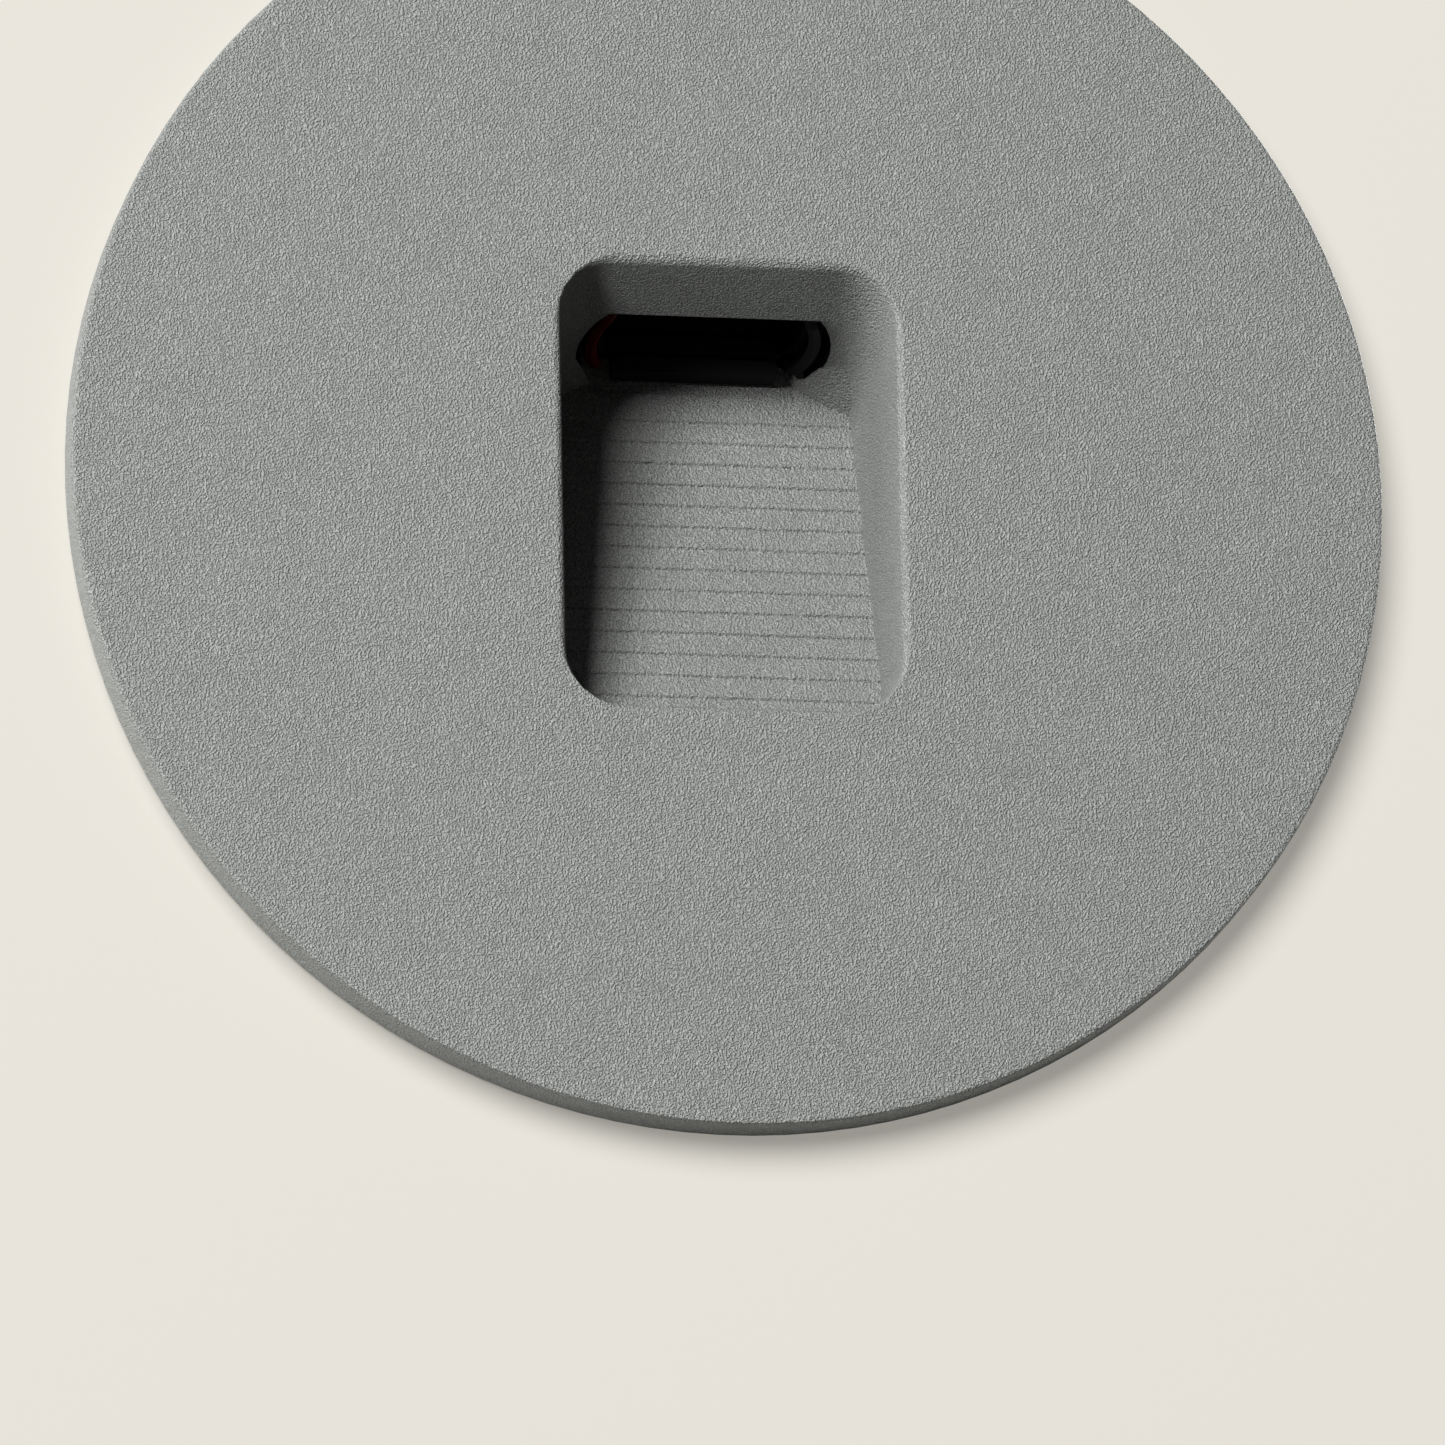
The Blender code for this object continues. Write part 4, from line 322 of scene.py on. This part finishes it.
def tinted(graph, share, first, second):
    return graph.blend(share, (*first, 1), (*second, 1))


def add_bump(graph, shader, height, depth):
    bump = graph.node("ShaderNodeBump")
    bump.inputs["Distance"].default_value = depth * MM
    graph.feed(bump.inputs["Height"], height)
    graph.feed(shader.inputs["Normal"], bump.outputs["Normal"])


def powder_coat(name, dark, pale, flecks):
    graph, shader, place = new_material(name)
    effect = graph.group("powder_grain", Vector=place, Grain=COAT_GRAIN, Flecks=flecks)
    colour = tinted(graph, effect["Tone"], dark, pale)
    flecked = graph.blend(effect["Fleck"], colour, (*FLECK_COLOUR, 1))
    diffuse_ray = graph.node("ShaderNodeLightPath").outputs["Is Diffuse Ray"]
    bounced = graph.blend(graph.times(diffuse_ray, BOUNCE_LOSS), flecked, (*BLACK, 1))
    graph.feed(shader.inputs["Base Color"], bounced)
    shine = graph.spread(effect["Tone"], *TONE_RANGE, *COAT_ROUGHNESS)
    graph.feed(shader.inputs["Roughness"], shine)
    add_bump(graph, shader, effect["Height"], COAT_DEPTH)


def cast_metal(name, dark, pale, metallic, roughness):
    graph, shader, place = new_material(name)
    effect = graph.group("cast_skin", Vector=place, Pitting=CAST_PITTING)
    stain = effect["Stain"]
    graph.feed(shader.inputs["Base Color"], tinted(graph, stain, dark, pale))
    shine = graph.spread(stain, 0, 1, roughness + CAST_ROUGHER, roughness - CAST_SMOOTHER)
    graph.feed(shader.inputs["Roughness"], shine)
    shader.inputs["Metallic"].default_value = metallic
    add_bump(graph, shader, effect["Height"], CAST_DEPTH)


def moulded(name, colour, roughness, size, depth, dust, gleam=USUAL_GLEAM):
    graph, shader, place = new_material(name)
    effect = graph.group("moulded_skin", Vector=place, Size=size)
    share = graph.times(effect["Dust"], dust)
    graph.feed(shader.inputs["Base Color"], tinted(graph, share, colour, DUST_COLOUR))
    graph.feed(shader.inputs["Roughness"], graph.plus(roughness, share))
    shader.inputs["Specular IOR Level"].default_value = gleam
    add_bump(graph, shader, effect["Height"], depth)


def plated(name, dark, pale, roughness, lines=6.0):
    graph, shader, place = new_material(name)
    effect = graph.group("drawn_metal", Vector=place, Lines=lines)
    shade = effect["Shade"]
    graph.feed(shader.inputs["Base Color"], tinted(graph, shade, dark, pale))
    shine = graph.spread(shade, *TONE_RANGE, roughness, roughness + PLATED_ROUGHER)
    graph.feed(shader.inputs["Roughness"], shine)
    shader.inputs["Metallic"].default_value = 1.0
    add_bump(graph, shader, effect["Height"], PLATED_DEPTH)


def clear_lens():
    graph, shader, place = new_material("clear_lens")
    shader.inputs["Base Color"].default_value = (*LENS_COLOUR, 1)
    shader.inputs["Transmission Weight"].default_value = LENS_CLEARNESS
    shader.inputs["IOR"].default_value = LENS_INDEX
    clouds = graph.noise(place, LENS_CLOUD_SCALE, detail=3.0)
    shine = graph.spread(clouds, *LENS_CLOUD_RANGE, *LENS_ROUGHNESS)
    graph.feed(shader.inputs["Roughness"], shine)


def make_materials():
    powder_grain_group()
    cast_skin_group()
    moulded_skin_group()
    drawn_metal_group()
    powder_coat("powder_coat", (0.112, 0.118, 0.111), (0.388, 0.399, 0.383), flecks=0.5)
    # A darker copy of the coat, as painted shade on the ribs' undersides
    powder_coat("rib_painted_shade", (0.090, 0.094, 0.089), (0.310, 0.319, 0.306), flecks=0.2)
    cast_metal(
        "cast_aluminium", (0.40, 0.41, 0.42), (0.56, 0.57, 0.58), metallic=0.85, roughness=0.42,
    )
    clear_lens()
    plated("copper_wire", (0.42, 0.13, 0.05), (0.62, 0.24, 0.10), 0.3)
    plated("zinc_steel", (0.44, 0.45, 0.46), (0.62, 0.63, 0.64), 0.3)
    plated("spring_steel", (0.42, 0.42, 0.42), (0.62, 0.62, 0.61), 0.22, lines=9.0)

    # Colour, roughness, the texture's scale and depth, share of dust, and gleam where it is low
    moulded("black_plastic", (0.0060, 0.0060, 0.0063), 0.7, 4.0, 0.012, 0.004, 0.2)
    # Near-black painted shade for the bore's walls, which stand in the cavity's shade
    moulded("bore_painted_shade", (0.0015, 0.0014, 0.0014), 0.8, 4.0, 0.004, 0.0, 0.1)
    # Red of the lead, darkened as painted shade for the bore's shade it lies in
    moulded("red_sheath", (0.085, 0.0016, 0.0012), 0.5, 7.0, 0.003, 0.004, 0.12)
    moulded("black_sheath", (0.005, 0.005, 0.0054), 0.5, 7.0, 0.003, 0.004, 0.12)
    moulded("black_rubber", (0.022, 0.022, 0.023), 0.72, 6.0, 0.01, 0.2)
    moulded("grey_foam", (0.075, 0.077, 0.08), 0.9, 2.2, 0.12, 0.1)
    moulded("white_board", (0.74, 0.75, 0.73), 0.38, 5.0, 0.003, 0.1)
    moulded("green_board", (0.018, 0.12, 0.05), 0.35, 3.0, 0.006, 0.12)
    moulded("yellow_phosphor", (0.86, 0.62, 0.10), 0.42, 8.0, 0.004, 0.0)
    moulded("grey_pad", (0.40, 0.42, 0.45), 0.85, 3.0, 0.02, 0.1)
    moulded("ferrite", (0.055, 0.055, 0.06), 0.62, 5.0, 0.01, 0.15)
    moulded("winding_tape", (0.62, 0.42, 0.05), 0.35, 3.0, 0.004, 0.1)
    moulded("capacitor_sleeve", (0.015, 0.02, 0.06), 0.3, 6.0, 0.003, 0.1)
    moulded("terminal_plastic", (0.42, 0.43, 0.44), 0.42, 5.0, 0.006, 0.15)
    moulded("orange_plastic", (0.72, 0.16, 0.015), 0.38, 5.0, 0.005, 0.1)
    moulded("gland_plastic", (0.035, 0.035, 0.037), 0.48, 4.0, 0.01, 0.15)


# Pieces

SLOTS = {entry["node"]: entry["material_slot"] for entry in frame["record"]["subparts"]}
BODIES = {
    node: body
    for body, nodes in frame["record"]["behaviour"]["bodies"].items() for node in nodes
}
MERGE_GAP = 0.0005
FLAT_ANGLE = math.radians(0.4)
SHARP_ANGLE = math.radians(33)
LARGE_FACE_WEIGHT = 90
EDGE_SEGMENTS = 2
EDGE_ANGLE = math.radians(50)
CAST_EDGE = 0.25
BRACKET_EDGE = 0.12
PIN_EDGE = 0.1
SLEEVE_EDGE = 0.1


def place_piece(name, data, slot, body, stands_for):
    """An object of the light that rides on a body and stands for CAD nodes."""
    data.materials.append(MATERIALS[slot])
    piece = bpy.data.objects.new(name, data)
    bpy.context.scene.collection.objects.link(piece)
    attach(piece, body)
    if stands_for:
        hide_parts(*stands_for)
    return piece


def mesh_from(name, shape):
    mesh = bpy.data.meshes.new(name)
    shape.to_mesh(mesh)
    shape.free()
    return mesh


def add_piece(name, shape, slot, body=LIGHT, stands_for=()):
    return place_piece(name, mesh_from(name, shape), slot, body, stands_for)


def wire_piece(name, points, radius, roundness, slot, body, stands_for):
    """One round wire with flat ends through points."""
    curve = bpy.data.curves.new(name, "CURVE")
    curve.dimensions = "3D"
    curve.bevel_depth = radius * MM
    curve.bevel_resolution = roundness
    curve.use_fill_caps = True
    spline = curve.splines.new("POLY")
    spline.points.add(len(points) - 1)
    for target, point in zip(spline.points, points):
        target.co = (*(point * MM), 1)
    place_piece(name, curve, slot, body, stands_for)


def merge_doubles(shape):
    bmesh.ops.remove_doubles(shape, verts=shape.verts, dist=MERGE_GAP * MM)


def merge_flat_faces(shape, angle):
    bmesh.ops.dissolve_limit(shape, angle_limit=angle, verts=shape.verts, edges=shape.edges)


def even_shading(piece):
    """Smooth shading that keeps flat faces flat and sharp edges sharp."""
    shape = bmesh.new()
    shape.from_mesh(piece.data)
    for face in shape.faces:
        face.smooth = True
    for edge in shape.edges:
        edge.smooth = edge.calc_face_angle(0) < SHARP_ANGLE
    shape.to_mesh(piece.data)
    shape.free()
    weights = piece.modifiers.new("even_shading", "WEIGHTED_NORMAL")
    weights.keep_sharp = True
    weights.weight = LARGE_FACE_WEIGHT


def refined(node, edge):
    """A CAD node with its edges rounded, as the cast, moulded or turned piece has them."""
    shape = bmesh.new()
    shape.from_mesh(frame["nodes"][node].data)
    merge_doubles(shape)
    merge_flat_faces(shape, FLAT_ANGLE)
    piece = add_piece(f"{node}_piece", shape, SLOTS[node], BODIES.get(node, LIGHT), (node,))
    if edge:
        rounding = piece.modifiers.new("edges", "BEVEL")
        rounding.width = edge * MM
        rounding.segments = EDGE_SEGMENTS
        rounding.limit_method = "ANGLE"
        rounding.angle_limit = EDGE_ANGLE
        rounding.use_clamp_overlap = True
    even_shading(piece)
    return piece


def dress_nodes():
    """Every CAD node gets its slot's finish, which shows where no piece stands for it."""
    for node, slot in SLOTS.items():
        materials = frame["nodes"][node].data.materials
        materials.clear()
        materials.append(MATERIALS[slot])


# Front plate

# The recess's ceiling from front to rear, as depth behind the plate's face and height
CEILING_FRONT_DEPTH = 5.6
CEILING_FRONT_Z = 14.2
CEILING_REAR_DEPTH = 16.2
CEILING_REAR_Z = 11.9
CEILING_MIDDLE = (0, 6.9, 13.05)
ENGINE_TILT = math.atan2(
    CEILING_FRONT_Z - CEILING_REAR_Z, CEILING_REAR_DEPTH - CEILING_FRONT_DEPTH,
)
ENGINE_PLACE = (
    Matrix.Translation(Vector(CEILING_MIDDLE) * MM) @ Matrix.Rotation(-ENGINE_TILT, 4, "X")
)

# The bore's wall, told from the slope below it and from its own rear, in the light engine's frame
BORE_RADIUS = 9.7
BORE_SLACK = 0.05
BORE_START = 0.5
BORE_REACH = 5.0
UPRIGHT_LIMIT = 0.3

# The ribs' undersides, told by how far they face down and by their place on the middle line
RIB_FACE_TURN = -0.255
RIB_FACE_SLACK = 0.01

# Corners of the flat between the bore's end, the ceiling and the slope's top, and points behind it
FACET_FRONT = (
    (7.77, 12.2, 11.9), (9.83, 8.01, 12.81), (10.33, 7.0, 13.03), (11.75, 6.52, 12.28),
)
FACET_BURIED = (
    (13.2, 11.7, 8.55), (13.2, 7.0, 12.2), (8.3, 12.75, 12.6), (10.4, 8.5, 13.6),
    (11.0, 7.3, 13.9),
)
FACET_FLAT_ANGLE = math.radians(2)


def front_plate():
    """The plate, with near-black painted shade on the bore's walls and a darker coat as painted
    shade under the ribs.
    """
    plate = refined("front_plate", 0)
    plate.data.materials.append(MATERIALS["bore_painted_shade"])
    plate.data.materials.append(MATERIALS["rib_painted_shade"])
    painted_bore_shade, painted_rib_shade = 1, 2
    to_engine = ENGINE_PLACE.inverted()
    for face in plate.data.polygons:
        middle = to_engine @ face.center / MM
        upright = abs((to_engine.to_3x3() @ face.normal).z) < UPRIGHT_LIMIT
        inside = math.hypot(middle.x, middle.y) < BORE_RADIUS + BORE_SLACK
        # The bore's walls get the near-black painted shade
        if upright and inside and middle.y < BORE_REACH and middle.z > BORE_START:
            face.material_index = painted_bore_shade
        # The ribs' undersides get the darker coat as painted shade
        faces_down = abs(face.normal.z - RIB_FACE_TURN) < RIB_FACE_SLACK
        if faces_down and abs(face.center.x) < MM:
            face.material_index = painted_rib_shade


def bore_facets():
    """The small flat at each end of the bore, on the face of a block buried in the plate."""
    for side, name in ((-1, "left"), (1, "right")):
        shape = bmesh.new()
        for x, y, z in FACET_FRONT + FACET_BURIED:
            shape.verts.new((side * x * MM, y * MM, z * MM))
        bmesh.ops.convex_hull(shape, input=shape.verts)
        merge_flat_faces(shape, FACET_FLAT_ANGLE)
        bmesh.ops.recalc_face_normals(shape, faces=shape.faces)
        add_piece(f"{name}_bore_facet", shape, "powder_coat")


# Sprung clips

PIVOT_X = 34.8
PIVOT_Y = 26.0
WIRE_RADIUS = 0.6
WIRE_ROUNDNESS = 4
COIL_RADIUS = 1.95
COIL_TURNS = 3
COIL_PITCH = 1.65
COIL_START = 2.0
COIL_STEPS = 20
TIP_X = 46.4
TIP_Y = 14.05
CORNER_RADIUS = 1.6
CORNER_STEPS = 8
ARM_SHARES = (0.06, 0.5, 0.8)


def coil(leave):
    """Points of the upper coil about the pivot, ending at the angle where its arm leaves."""
    total = COIL_TURNS * COIL_STEPS
    points = []
    for step in range(total + 1):
        share = step / total
        angle = leave - math.tau * COIL_TURNS * (1 - share)
        height = COIL_START + COIL_PITCH * COIL_TURNS * share
        points.append(Vector((
            COIL_RADIUS * math.cos(angle), COIL_RADIUS * math.sin(angle), height,
        )))
    return points


def spring_path():
    """The wire of one clip: a coil, an arm, the rounded cross bar, and back to the other coil."""
    tip = Vector((TIP_X - PIVOT_X, TIP_Y - PIVOT_Y))
    heading = math.atan2(tip.y, tip.x) + math.asin(COIL_RADIUS / tip.length)
    along = Vector((math.cos(heading), math.sin(heading), 0))
    upper = coil(heading - math.pi / 2)
    reach = math.sqrt(tip.length ** 2 - COIL_RADIUS ** 2)
    shoulder = upper[-1] + along * (reach - CORNER_RADIUS)
    corner = []
    for step in range(1, CORNER_STEPS + 1):
        angle = math.pi / 2 * step / CORNER_STEPS
        inwards = Vector((0, 0, CORNER_RADIUS * (math.cos(angle) - 1)))
        corner.append(shoulder + along * CORNER_RADIUS * math.sin(angle) + inwards)
    arm = [upper[-1] + along * reach * share for share in ARM_SHARES]
    half = upper + arm + [shoulder] + corner
    return half + [Vector((point.x, point.y, -point.z)) for point in reversed(half)]


def spring_piece(side, name):
    """A clip's wire at its pivot, riding on the clip's arm."""
    points = [
        Vector((side * (point.x + PIVOT_X), point.y + PIVOT_Y, side * point.z))
        for point in spring_path()
    ]
    wire_piece(
        f"{name}_spring_wire", points, WIRE_RADIUS, WIRE_ROUNDNESS, "spring_steel",
        f"{name}_arm", (f"{name}_spring",),
    )


# Fasteners

SCREW_SEGMENTS = 24
CROWN_STEPS = 8
CROWN_EDGE = 0.12
SOCKET_SHARE = 0.46
SOCKET_RIM = 1.12
SOCKET_FLOOR = 0.3
SOCKET_TOP = 0.93
SOCKET_RIM_TOP = 0.96
SOCKET_SLACK = 0.01
SIXTH_TURN = math.pi / 3


def node_middle(node):
    low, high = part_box(node)
    return (Vector(low) + Vector(high)) / 2


def spun(profile, segments):
    """A solid spun round z from (radius, height) points."""
    shape = bmesh.new()
    verts = [shape.verts.new((radius * MM, 0, height * MM)) for radius, height in profile]
    for first, second in zip(verts, verts[1:]):
        shape.edges.new((first, second))
    bmesh.ops.spin(
        shape, geom=shape.verts[:] + shape.edges[:], axis=(0, 0, 1), cent=(0, 0, 0),
        angle=math.tau, steps=segments, use_merge=True,
    )
    merge_doubles(shape)
    bmesh.ops.recalc_face_normals(shape, faces=shape.faces)
    return shape


def screw_profile(head, height, shank, length):
    """The outline of a button-head screw with a round socket, from pole to pole."""
    crown = []
    for step in range(CROWN_STEPS + 1):
        angle = math.pi / 2 * step / CROWN_STEPS
        rise = CROWN_EDGE + (1 - CROWN_EDGE) * math.cos(angle)
        crown.append((head * math.sin(angle), height * rise))
    socket = head * SOCKET_SHARE
    floor = height * SOCKET_FLOOR
    rim = socket * SOCKET_RIM
    profile = [(0, floor), (socket, floor), (socket, height * SOCKET_TOP)]
    profile += [(rim, height * SOCKET_RIM_TOP)] + [point for point in crown if point[0] > rim]
    return profile + [(head, 0), (shank, 0), (shank, -length), (0, -length)]


def cut_socket_flats(shape, socket, floor):
    """Turns the round socket into a six-sided one, and leaves a shank of the same width round."""
    for vert in shape.verts:
        radius = math.hypot(vert.co.x, vert.co.y) / MM
        above = vert.co.z > floor * (1 - SOCKET_SLACK) * MM
        if above and abs(radius - socket) < socket * SOCKET_SLACK:
            angle = math.atan2(vert.co.y, vert.co.x) % SIXTH_TURN
            flat = math.cos(SIXTH_TURN / 2) / math.cos(angle - SIXTH_TURN / 2)
            vert.co.x *= flat
            vert.co.y *= flat


def screw_piece(node, head, height, shank, length, direction):
    """A button-head screw with a six-sided socket, standing where its CAD node stands."""
    shape = spun(screw_profile(head, height, shank, length), SCREW_SEGMENTS)
    cut_socket_flats(shape, head * SOCKET_SHARE, height * SOCKET_FLOOR)
    turn = Vector(direction).to_track_quat("Z", "Y").to_matrix().to_4x4()
    seat = node_middle(node) - Vector(direction).normalized() * (height - length) / 2 * MM
    bmesh.ops.transform(shape, matrix=Matrix.Translation(seat) @ turn, verts=shape.verts)
    even_shading(add_piece(f"{node}_piece", shape, "zinc_steel", LIGHT, (node,)))


def add_screws():
    """Head radius, head height, shank radius and length of each screw follow its name."""
    rearwards = (0, 1, 0)
    tilted = (0, math.sin(ENGINE_TILT), math.cos(ENGINE_TILT))
    for index in range(1, 5):
        screw_piece(f"plate_screw_{index}", 2.6, 1.8, 1.2, 9.9, rearwards)
        screw_piece(f"cover_screw_{index}", 1.8, 1.2, 0.9, 7.7, rearwards)
    for index in range(1, 4):
        screw_piece(f"board_screw_{index}", 1.8, 1.2, 0.9, 5.3, rearwards)
    for index in range(1, 3):
        screw_piece(f"engine_screw_{index}", 1.8, 1.2, 0.9, 5.6, tilted)


# Choke

CHOKE_WIRE_RADIUS = 0.34
CHOKE_WIRE_ROUNDNESS = 1
CHOKE_HOLE_RADIUS = 2.4
WINDING_ROOM = 0.85
CORE_SEGMENTS = 40
WINDING_TURNS = 22
WINDING_STEPS = 10
WINDING_SHARE = 0.9
WINDING_SQUARENESS = 0.6


def squared(value):
    """Draws a sine or cosine out towards 1, so that a turn of wire follows the core's corners."""
    return (abs(value) ** WINDING_SQUARENESS) * math.copysign(1, value)


def choke_pieces():
    """A ferrite ring with enamelled wire wound round it in one unbroken tube."""
    middle = node_middle("choke") / MM
    low, high = (Vector(corner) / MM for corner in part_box("choke"))
    outer = (high.x - low.x) / 2
    inner = CHOKE_HOLE_RADIUS
    half_height = (high.y - low.y) / 2
    core_inner, core_outer = inner + WINDING_ROOM, outer - WINDING_ROOM
    core_top = half_height - WINDING_ROOM
    core = spun([
        (core_inner, core_top), (core_outer, core_top), (core_outer, -core_top),
        (core_inner, -core_top), (core_inner, core_top),
    ], CORE_SEGMENTS)
    turn = Matrix.Translation(middle * MM) @ Matrix.Rotation(math.radians(-90), 4, "X")
    bmesh.ops.transform(core, matrix=turn, verts=core.verts)
    even_shading(add_piece("choke_core", core, "ferrite"))
    points = []
    for index in range(WINDING_TURNS * WINDING_STEPS + 1):
        round_core = math.tau * index / WINDING_STEPS
        round_ring = math.tau * WINDING_SHARE * index / (WINDING_TURNS * WINDING_STEPS)
        swing = ((outer - inner) / 2 - CHOKE_WIRE_RADIUS) * squared(math.cos(round_core))
        lift = (half_height - CHOKE_WIRE_RADIUS) * squared(math.sin(round_core))
        radius = (outer + inner) / 2 + swing
        place = Vector((radius * math.cos(round_ring), lift, radius * math.sin(round_ring)))
        points.append(place + middle)
    wire_piece(
        "choke_winding", points, CHOKE_WIRE_RADIUS, CHOKE_WIRE_ROUNDNESS, "copper_wire",
        LIGHT, ("choke",),
    )


# Wall and floor

WALL_BOUNCE = (0.80, 0.787, 0.755)
FLOOR_BOUNCE = (0.05, 0.05, 0.048)
WALL_LIT = (0.475, 0.457, 0.416)
WALL_GLOW = (0.305, 0.294, 0.268)
PAINT_ROUGHNESS = 0.9
PAINT_GLEAM = 0.1
WALL_OPENING_RADIUS = 0.038
WALL_RADIUS = 3.0
WALL_SEGMENTS = 64
WALL_SET_BACK = 0.00005
FLOOR_HALF_WIDTH = 6
FLOOR_Z = -0.8


def join_shaders(graph, share, first, second):
    mix = graph.node("ShaderNodeMixShader")
    graph.feed(mix.inputs[0], share)
    graph.feed(mix.inputs[1], first)
    graph.feed(mix.inputs[2], second)
    return mix.outputs[0]


def stage_material(name, bounce_colour, see_through=False):
    """Pale paint whose tone in view is part lit and part even, so that shadows on it stay light."""
    material = bpy.data.materials.new(name)
    material.use_nodes = True
    graph = Graph(material.node_tree)
    bounce = material.node_tree.nodes["Principled BSDF"]
    bounce.inputs["Base Color"].default_value = (*bounce_colour, 1)
    bounce.inputs["Roughness"].default_value = PAINT_ROUGHNESS
    bounce.inputs["Specular IOR Level"].default_value = PAINT_GLEAM
    lit = graph.node("ShaderNodeBsdfDiffuse")
    lit.inputs["Color"].default_value = (*WALL_LIT, 1)
    glow = graph.node("ShaderNodeEmission")
    glow.inputs["Color"].default_value = (*WALL_GLOW, 1)
    both = graph.node("ShaderNodeAddShader")
    graph.feed(both.inputs[0], lit.outputs[0])
    graph.feed(both.inputs[1], glow.outputs[0])
    in_view = graph.node("ShaderNodeLightPath").outputs["Is Camera Ray"]
    surface = join_shaders(graph, in_view, bounce.outputs[0], both.outputs[0])
    if see_through:
        behind = graph.node("ShaderNodeNewGeometry").outputs["Backfacing"]
        clear = graph.node("ShaderNodeBsdfTransparent").outputs[0]
        surface = join_shaders(graph, behind, surface, clear)
    graph.feed(material.node_tree.nodes["Material Output"].inputs["Surface"], surface)
    return material


def add_stage_piece(name, shape, material):
    """Something round the light that isn't a piece of it."""
    mesh = mesh_from(name, shape)
    mesh.materials.append(material)
    thing = bpy.data.objects.new(name, mesh)
    bpy.context.scene.collection.objects.link(thing)
    return thing


def add_wall():
    """The wall's surface, open where the housing goes through, and seen only from the room."""
    shape = bmesh.new()
    for radius in (WALL_OPENING_RADIUS, WALL_RADIUS):
        bmesh.ops.create_circle(shape, segments=WALL_SEGMENTS, radius=radius)
    bmesh.ops.bridge_loops(shape, edges=shape.edges[:])
    upright = Matrix.Rotation(math.radians(90), 3, "X")
    bmesh.ops.rotate(shape, verts=shape.verts[:], matrix=upright)
    bmesh.ops.translate(shape, verts=shape.verts[:], vec=(0, WALL_SET_BACK, 0))
    for face in shape.faces:
        face.normal_update()
        if face.normal.y > 0:
            face.normal_flip()
    paint = stage_material("wall_paint", WALL_BOUNCE, see_through=True)
    return add_stage_piece("wall", shape, paint)


def add_floor():
    shape = bmesh.new()
    bmesh.ops.create_grid(shape, x_segments=1, y_segments=1, size=FLOOR_HALF_WIDTH)
    bmesh.ops.translate(shape, verts=shape.verts[:], vec=(0, 0, FLOOR_Z))
    return add_stage_piece("floor", shape, stage_material("floor_paint", FLOOR_BOUNCE))


# Light

PLATE_MIDDLE = (0, 0, 0)
BODY_MIDDLE = (0, 0.03, 0)
REAR_LAMP_PLACE = (1.3, 1.6, 1.2)
REAR_LAMP_SIZE = 1.2
ROOM_TINT = (0.96, 0.98, 1.0)
BACKDROP = (0.79, 0.76, 0.69)
MIRRORED_SHARE = 0.3
ROOM_STRENGTH = 0.003


def add_lamp(name, place, aim, size, power, shines_on, shaded_by=None):
    """A round lamp of a size in metres and a power in watts."""
    data = bpy.data.lights.new(name, "AREA")
    data.shape = "DISK"
    data.size = size
    data.energy = power
    lamp = bpy.data.objects.new(name, data)
    lamp.light_linking.receiver_collection = shines_on
    lamp.light_linking.blocker_collection = shaded_by
    lamp.location = place
    lamp.rotation_euler = (Vector(aim) - Vector(place)).to_track_quat("-Z", "Y").to_euler()
    bpy.context.scene.collection.objects.link(lamp)


def add_world():
    """A dim room all round, which shows as a pale backdrop where it is in view or mirrored."""
    world = bpy.data.worlds.new("studio")
    world.use_nodes = True
    graph = Graph(world.node_tree)
    sky = world.node_tree.nodes["Background"]
    rays = graph.node("ShaderNodeLightPath").outputs
    shown = graph.combine("MAXIMUM", rays["Is Camera Ray"], rays["Is Transmission Ray"])
    mirrored = graph.times(rays["Is Glossy Ray"], MIRRORED_SHARE)
    backdrop_share = graph.combine("MAXIMUM", shown, mirrored)
    strength = graph.spread(backdrop_share, 0, 1, ROOM_STRENGTH, 1.0)
    graph.feed(sky.inputs["Color"], tinted(graph, shown, ROOM_TINT, BACKDROP))
    graph.feed(sky.inputs["Strength"], strength)
    bpy.context.scene.world = world


def gathered(name, objects):
    group = bpy.data.collections.new(name)
    for thing in objects:
        group.objects.link(thing)
    return group


def add_light(stage):
    """Soft light from the left and above in front, and from the right and above behind the wall."""
    shown = [thing for thing in bpy.context.scene.objects if thing.type in {"MESH", "CURVE"}]
    pieces = gathered("light_pieces", [thing for thing in shown if thing not in stage])
    room = gathered("wall_and_floor", stage)
    add_lamp("key", (-0.626, -0.987, 0.442), PLATE_MIDDLE, 0.45, 17.9, pieces)
    add_lamp("key_left", (-0.839, -0.910, 0.176), PLATE_MIDDLE, 0.35, 9.0, pieces)
    add_lamp("side_fill", (-1.39, -0.17, 0.03), PLATE_MIDDLE, 0.5, 8.0, pieces)
    add_lamp("wall_key", (-0.90, -2.24, 0.90), PLATE_MIDDLE, 1.8, 87, room)
    add_lamp("rear_key", REAR_LAMP_PLACE, BODY_MIDDLE, REAR_LAMP_SIZE, 38, pieces, pieces)
    add_lamp("rear_room", REAR_LAMP_PLACE, BODY_MIDDLE, REAR_LAMP_SIZE, 45, room)
    add_world()


def build():
    add_camera()
    make_materials()
    front_plate()
    bore_facets()
    for node in (
        "housing", "rear_cover", "engine_cap", "gland_body", "gland_nut", "gland_locknut",
    ):
        refined(node, CAST_EDGE)
    for side, name in ((-1, "left_clip"), (1, "right_clip")):
        spring_piece(side, name)
        refined(f"{name}_bracket", BRACKET_EDGE)
        refined(f"{name}_pin", PIN_EDGE)
        refined(f"{name}_sleeve", SLEEVE_EDGE)
    add_screws()
    choke_pieces()
    dress_nodes()
    add_light([add_wall(), add_floor()])
    bpy.context.scene.view_settings.view_transform = "Standard"


build()
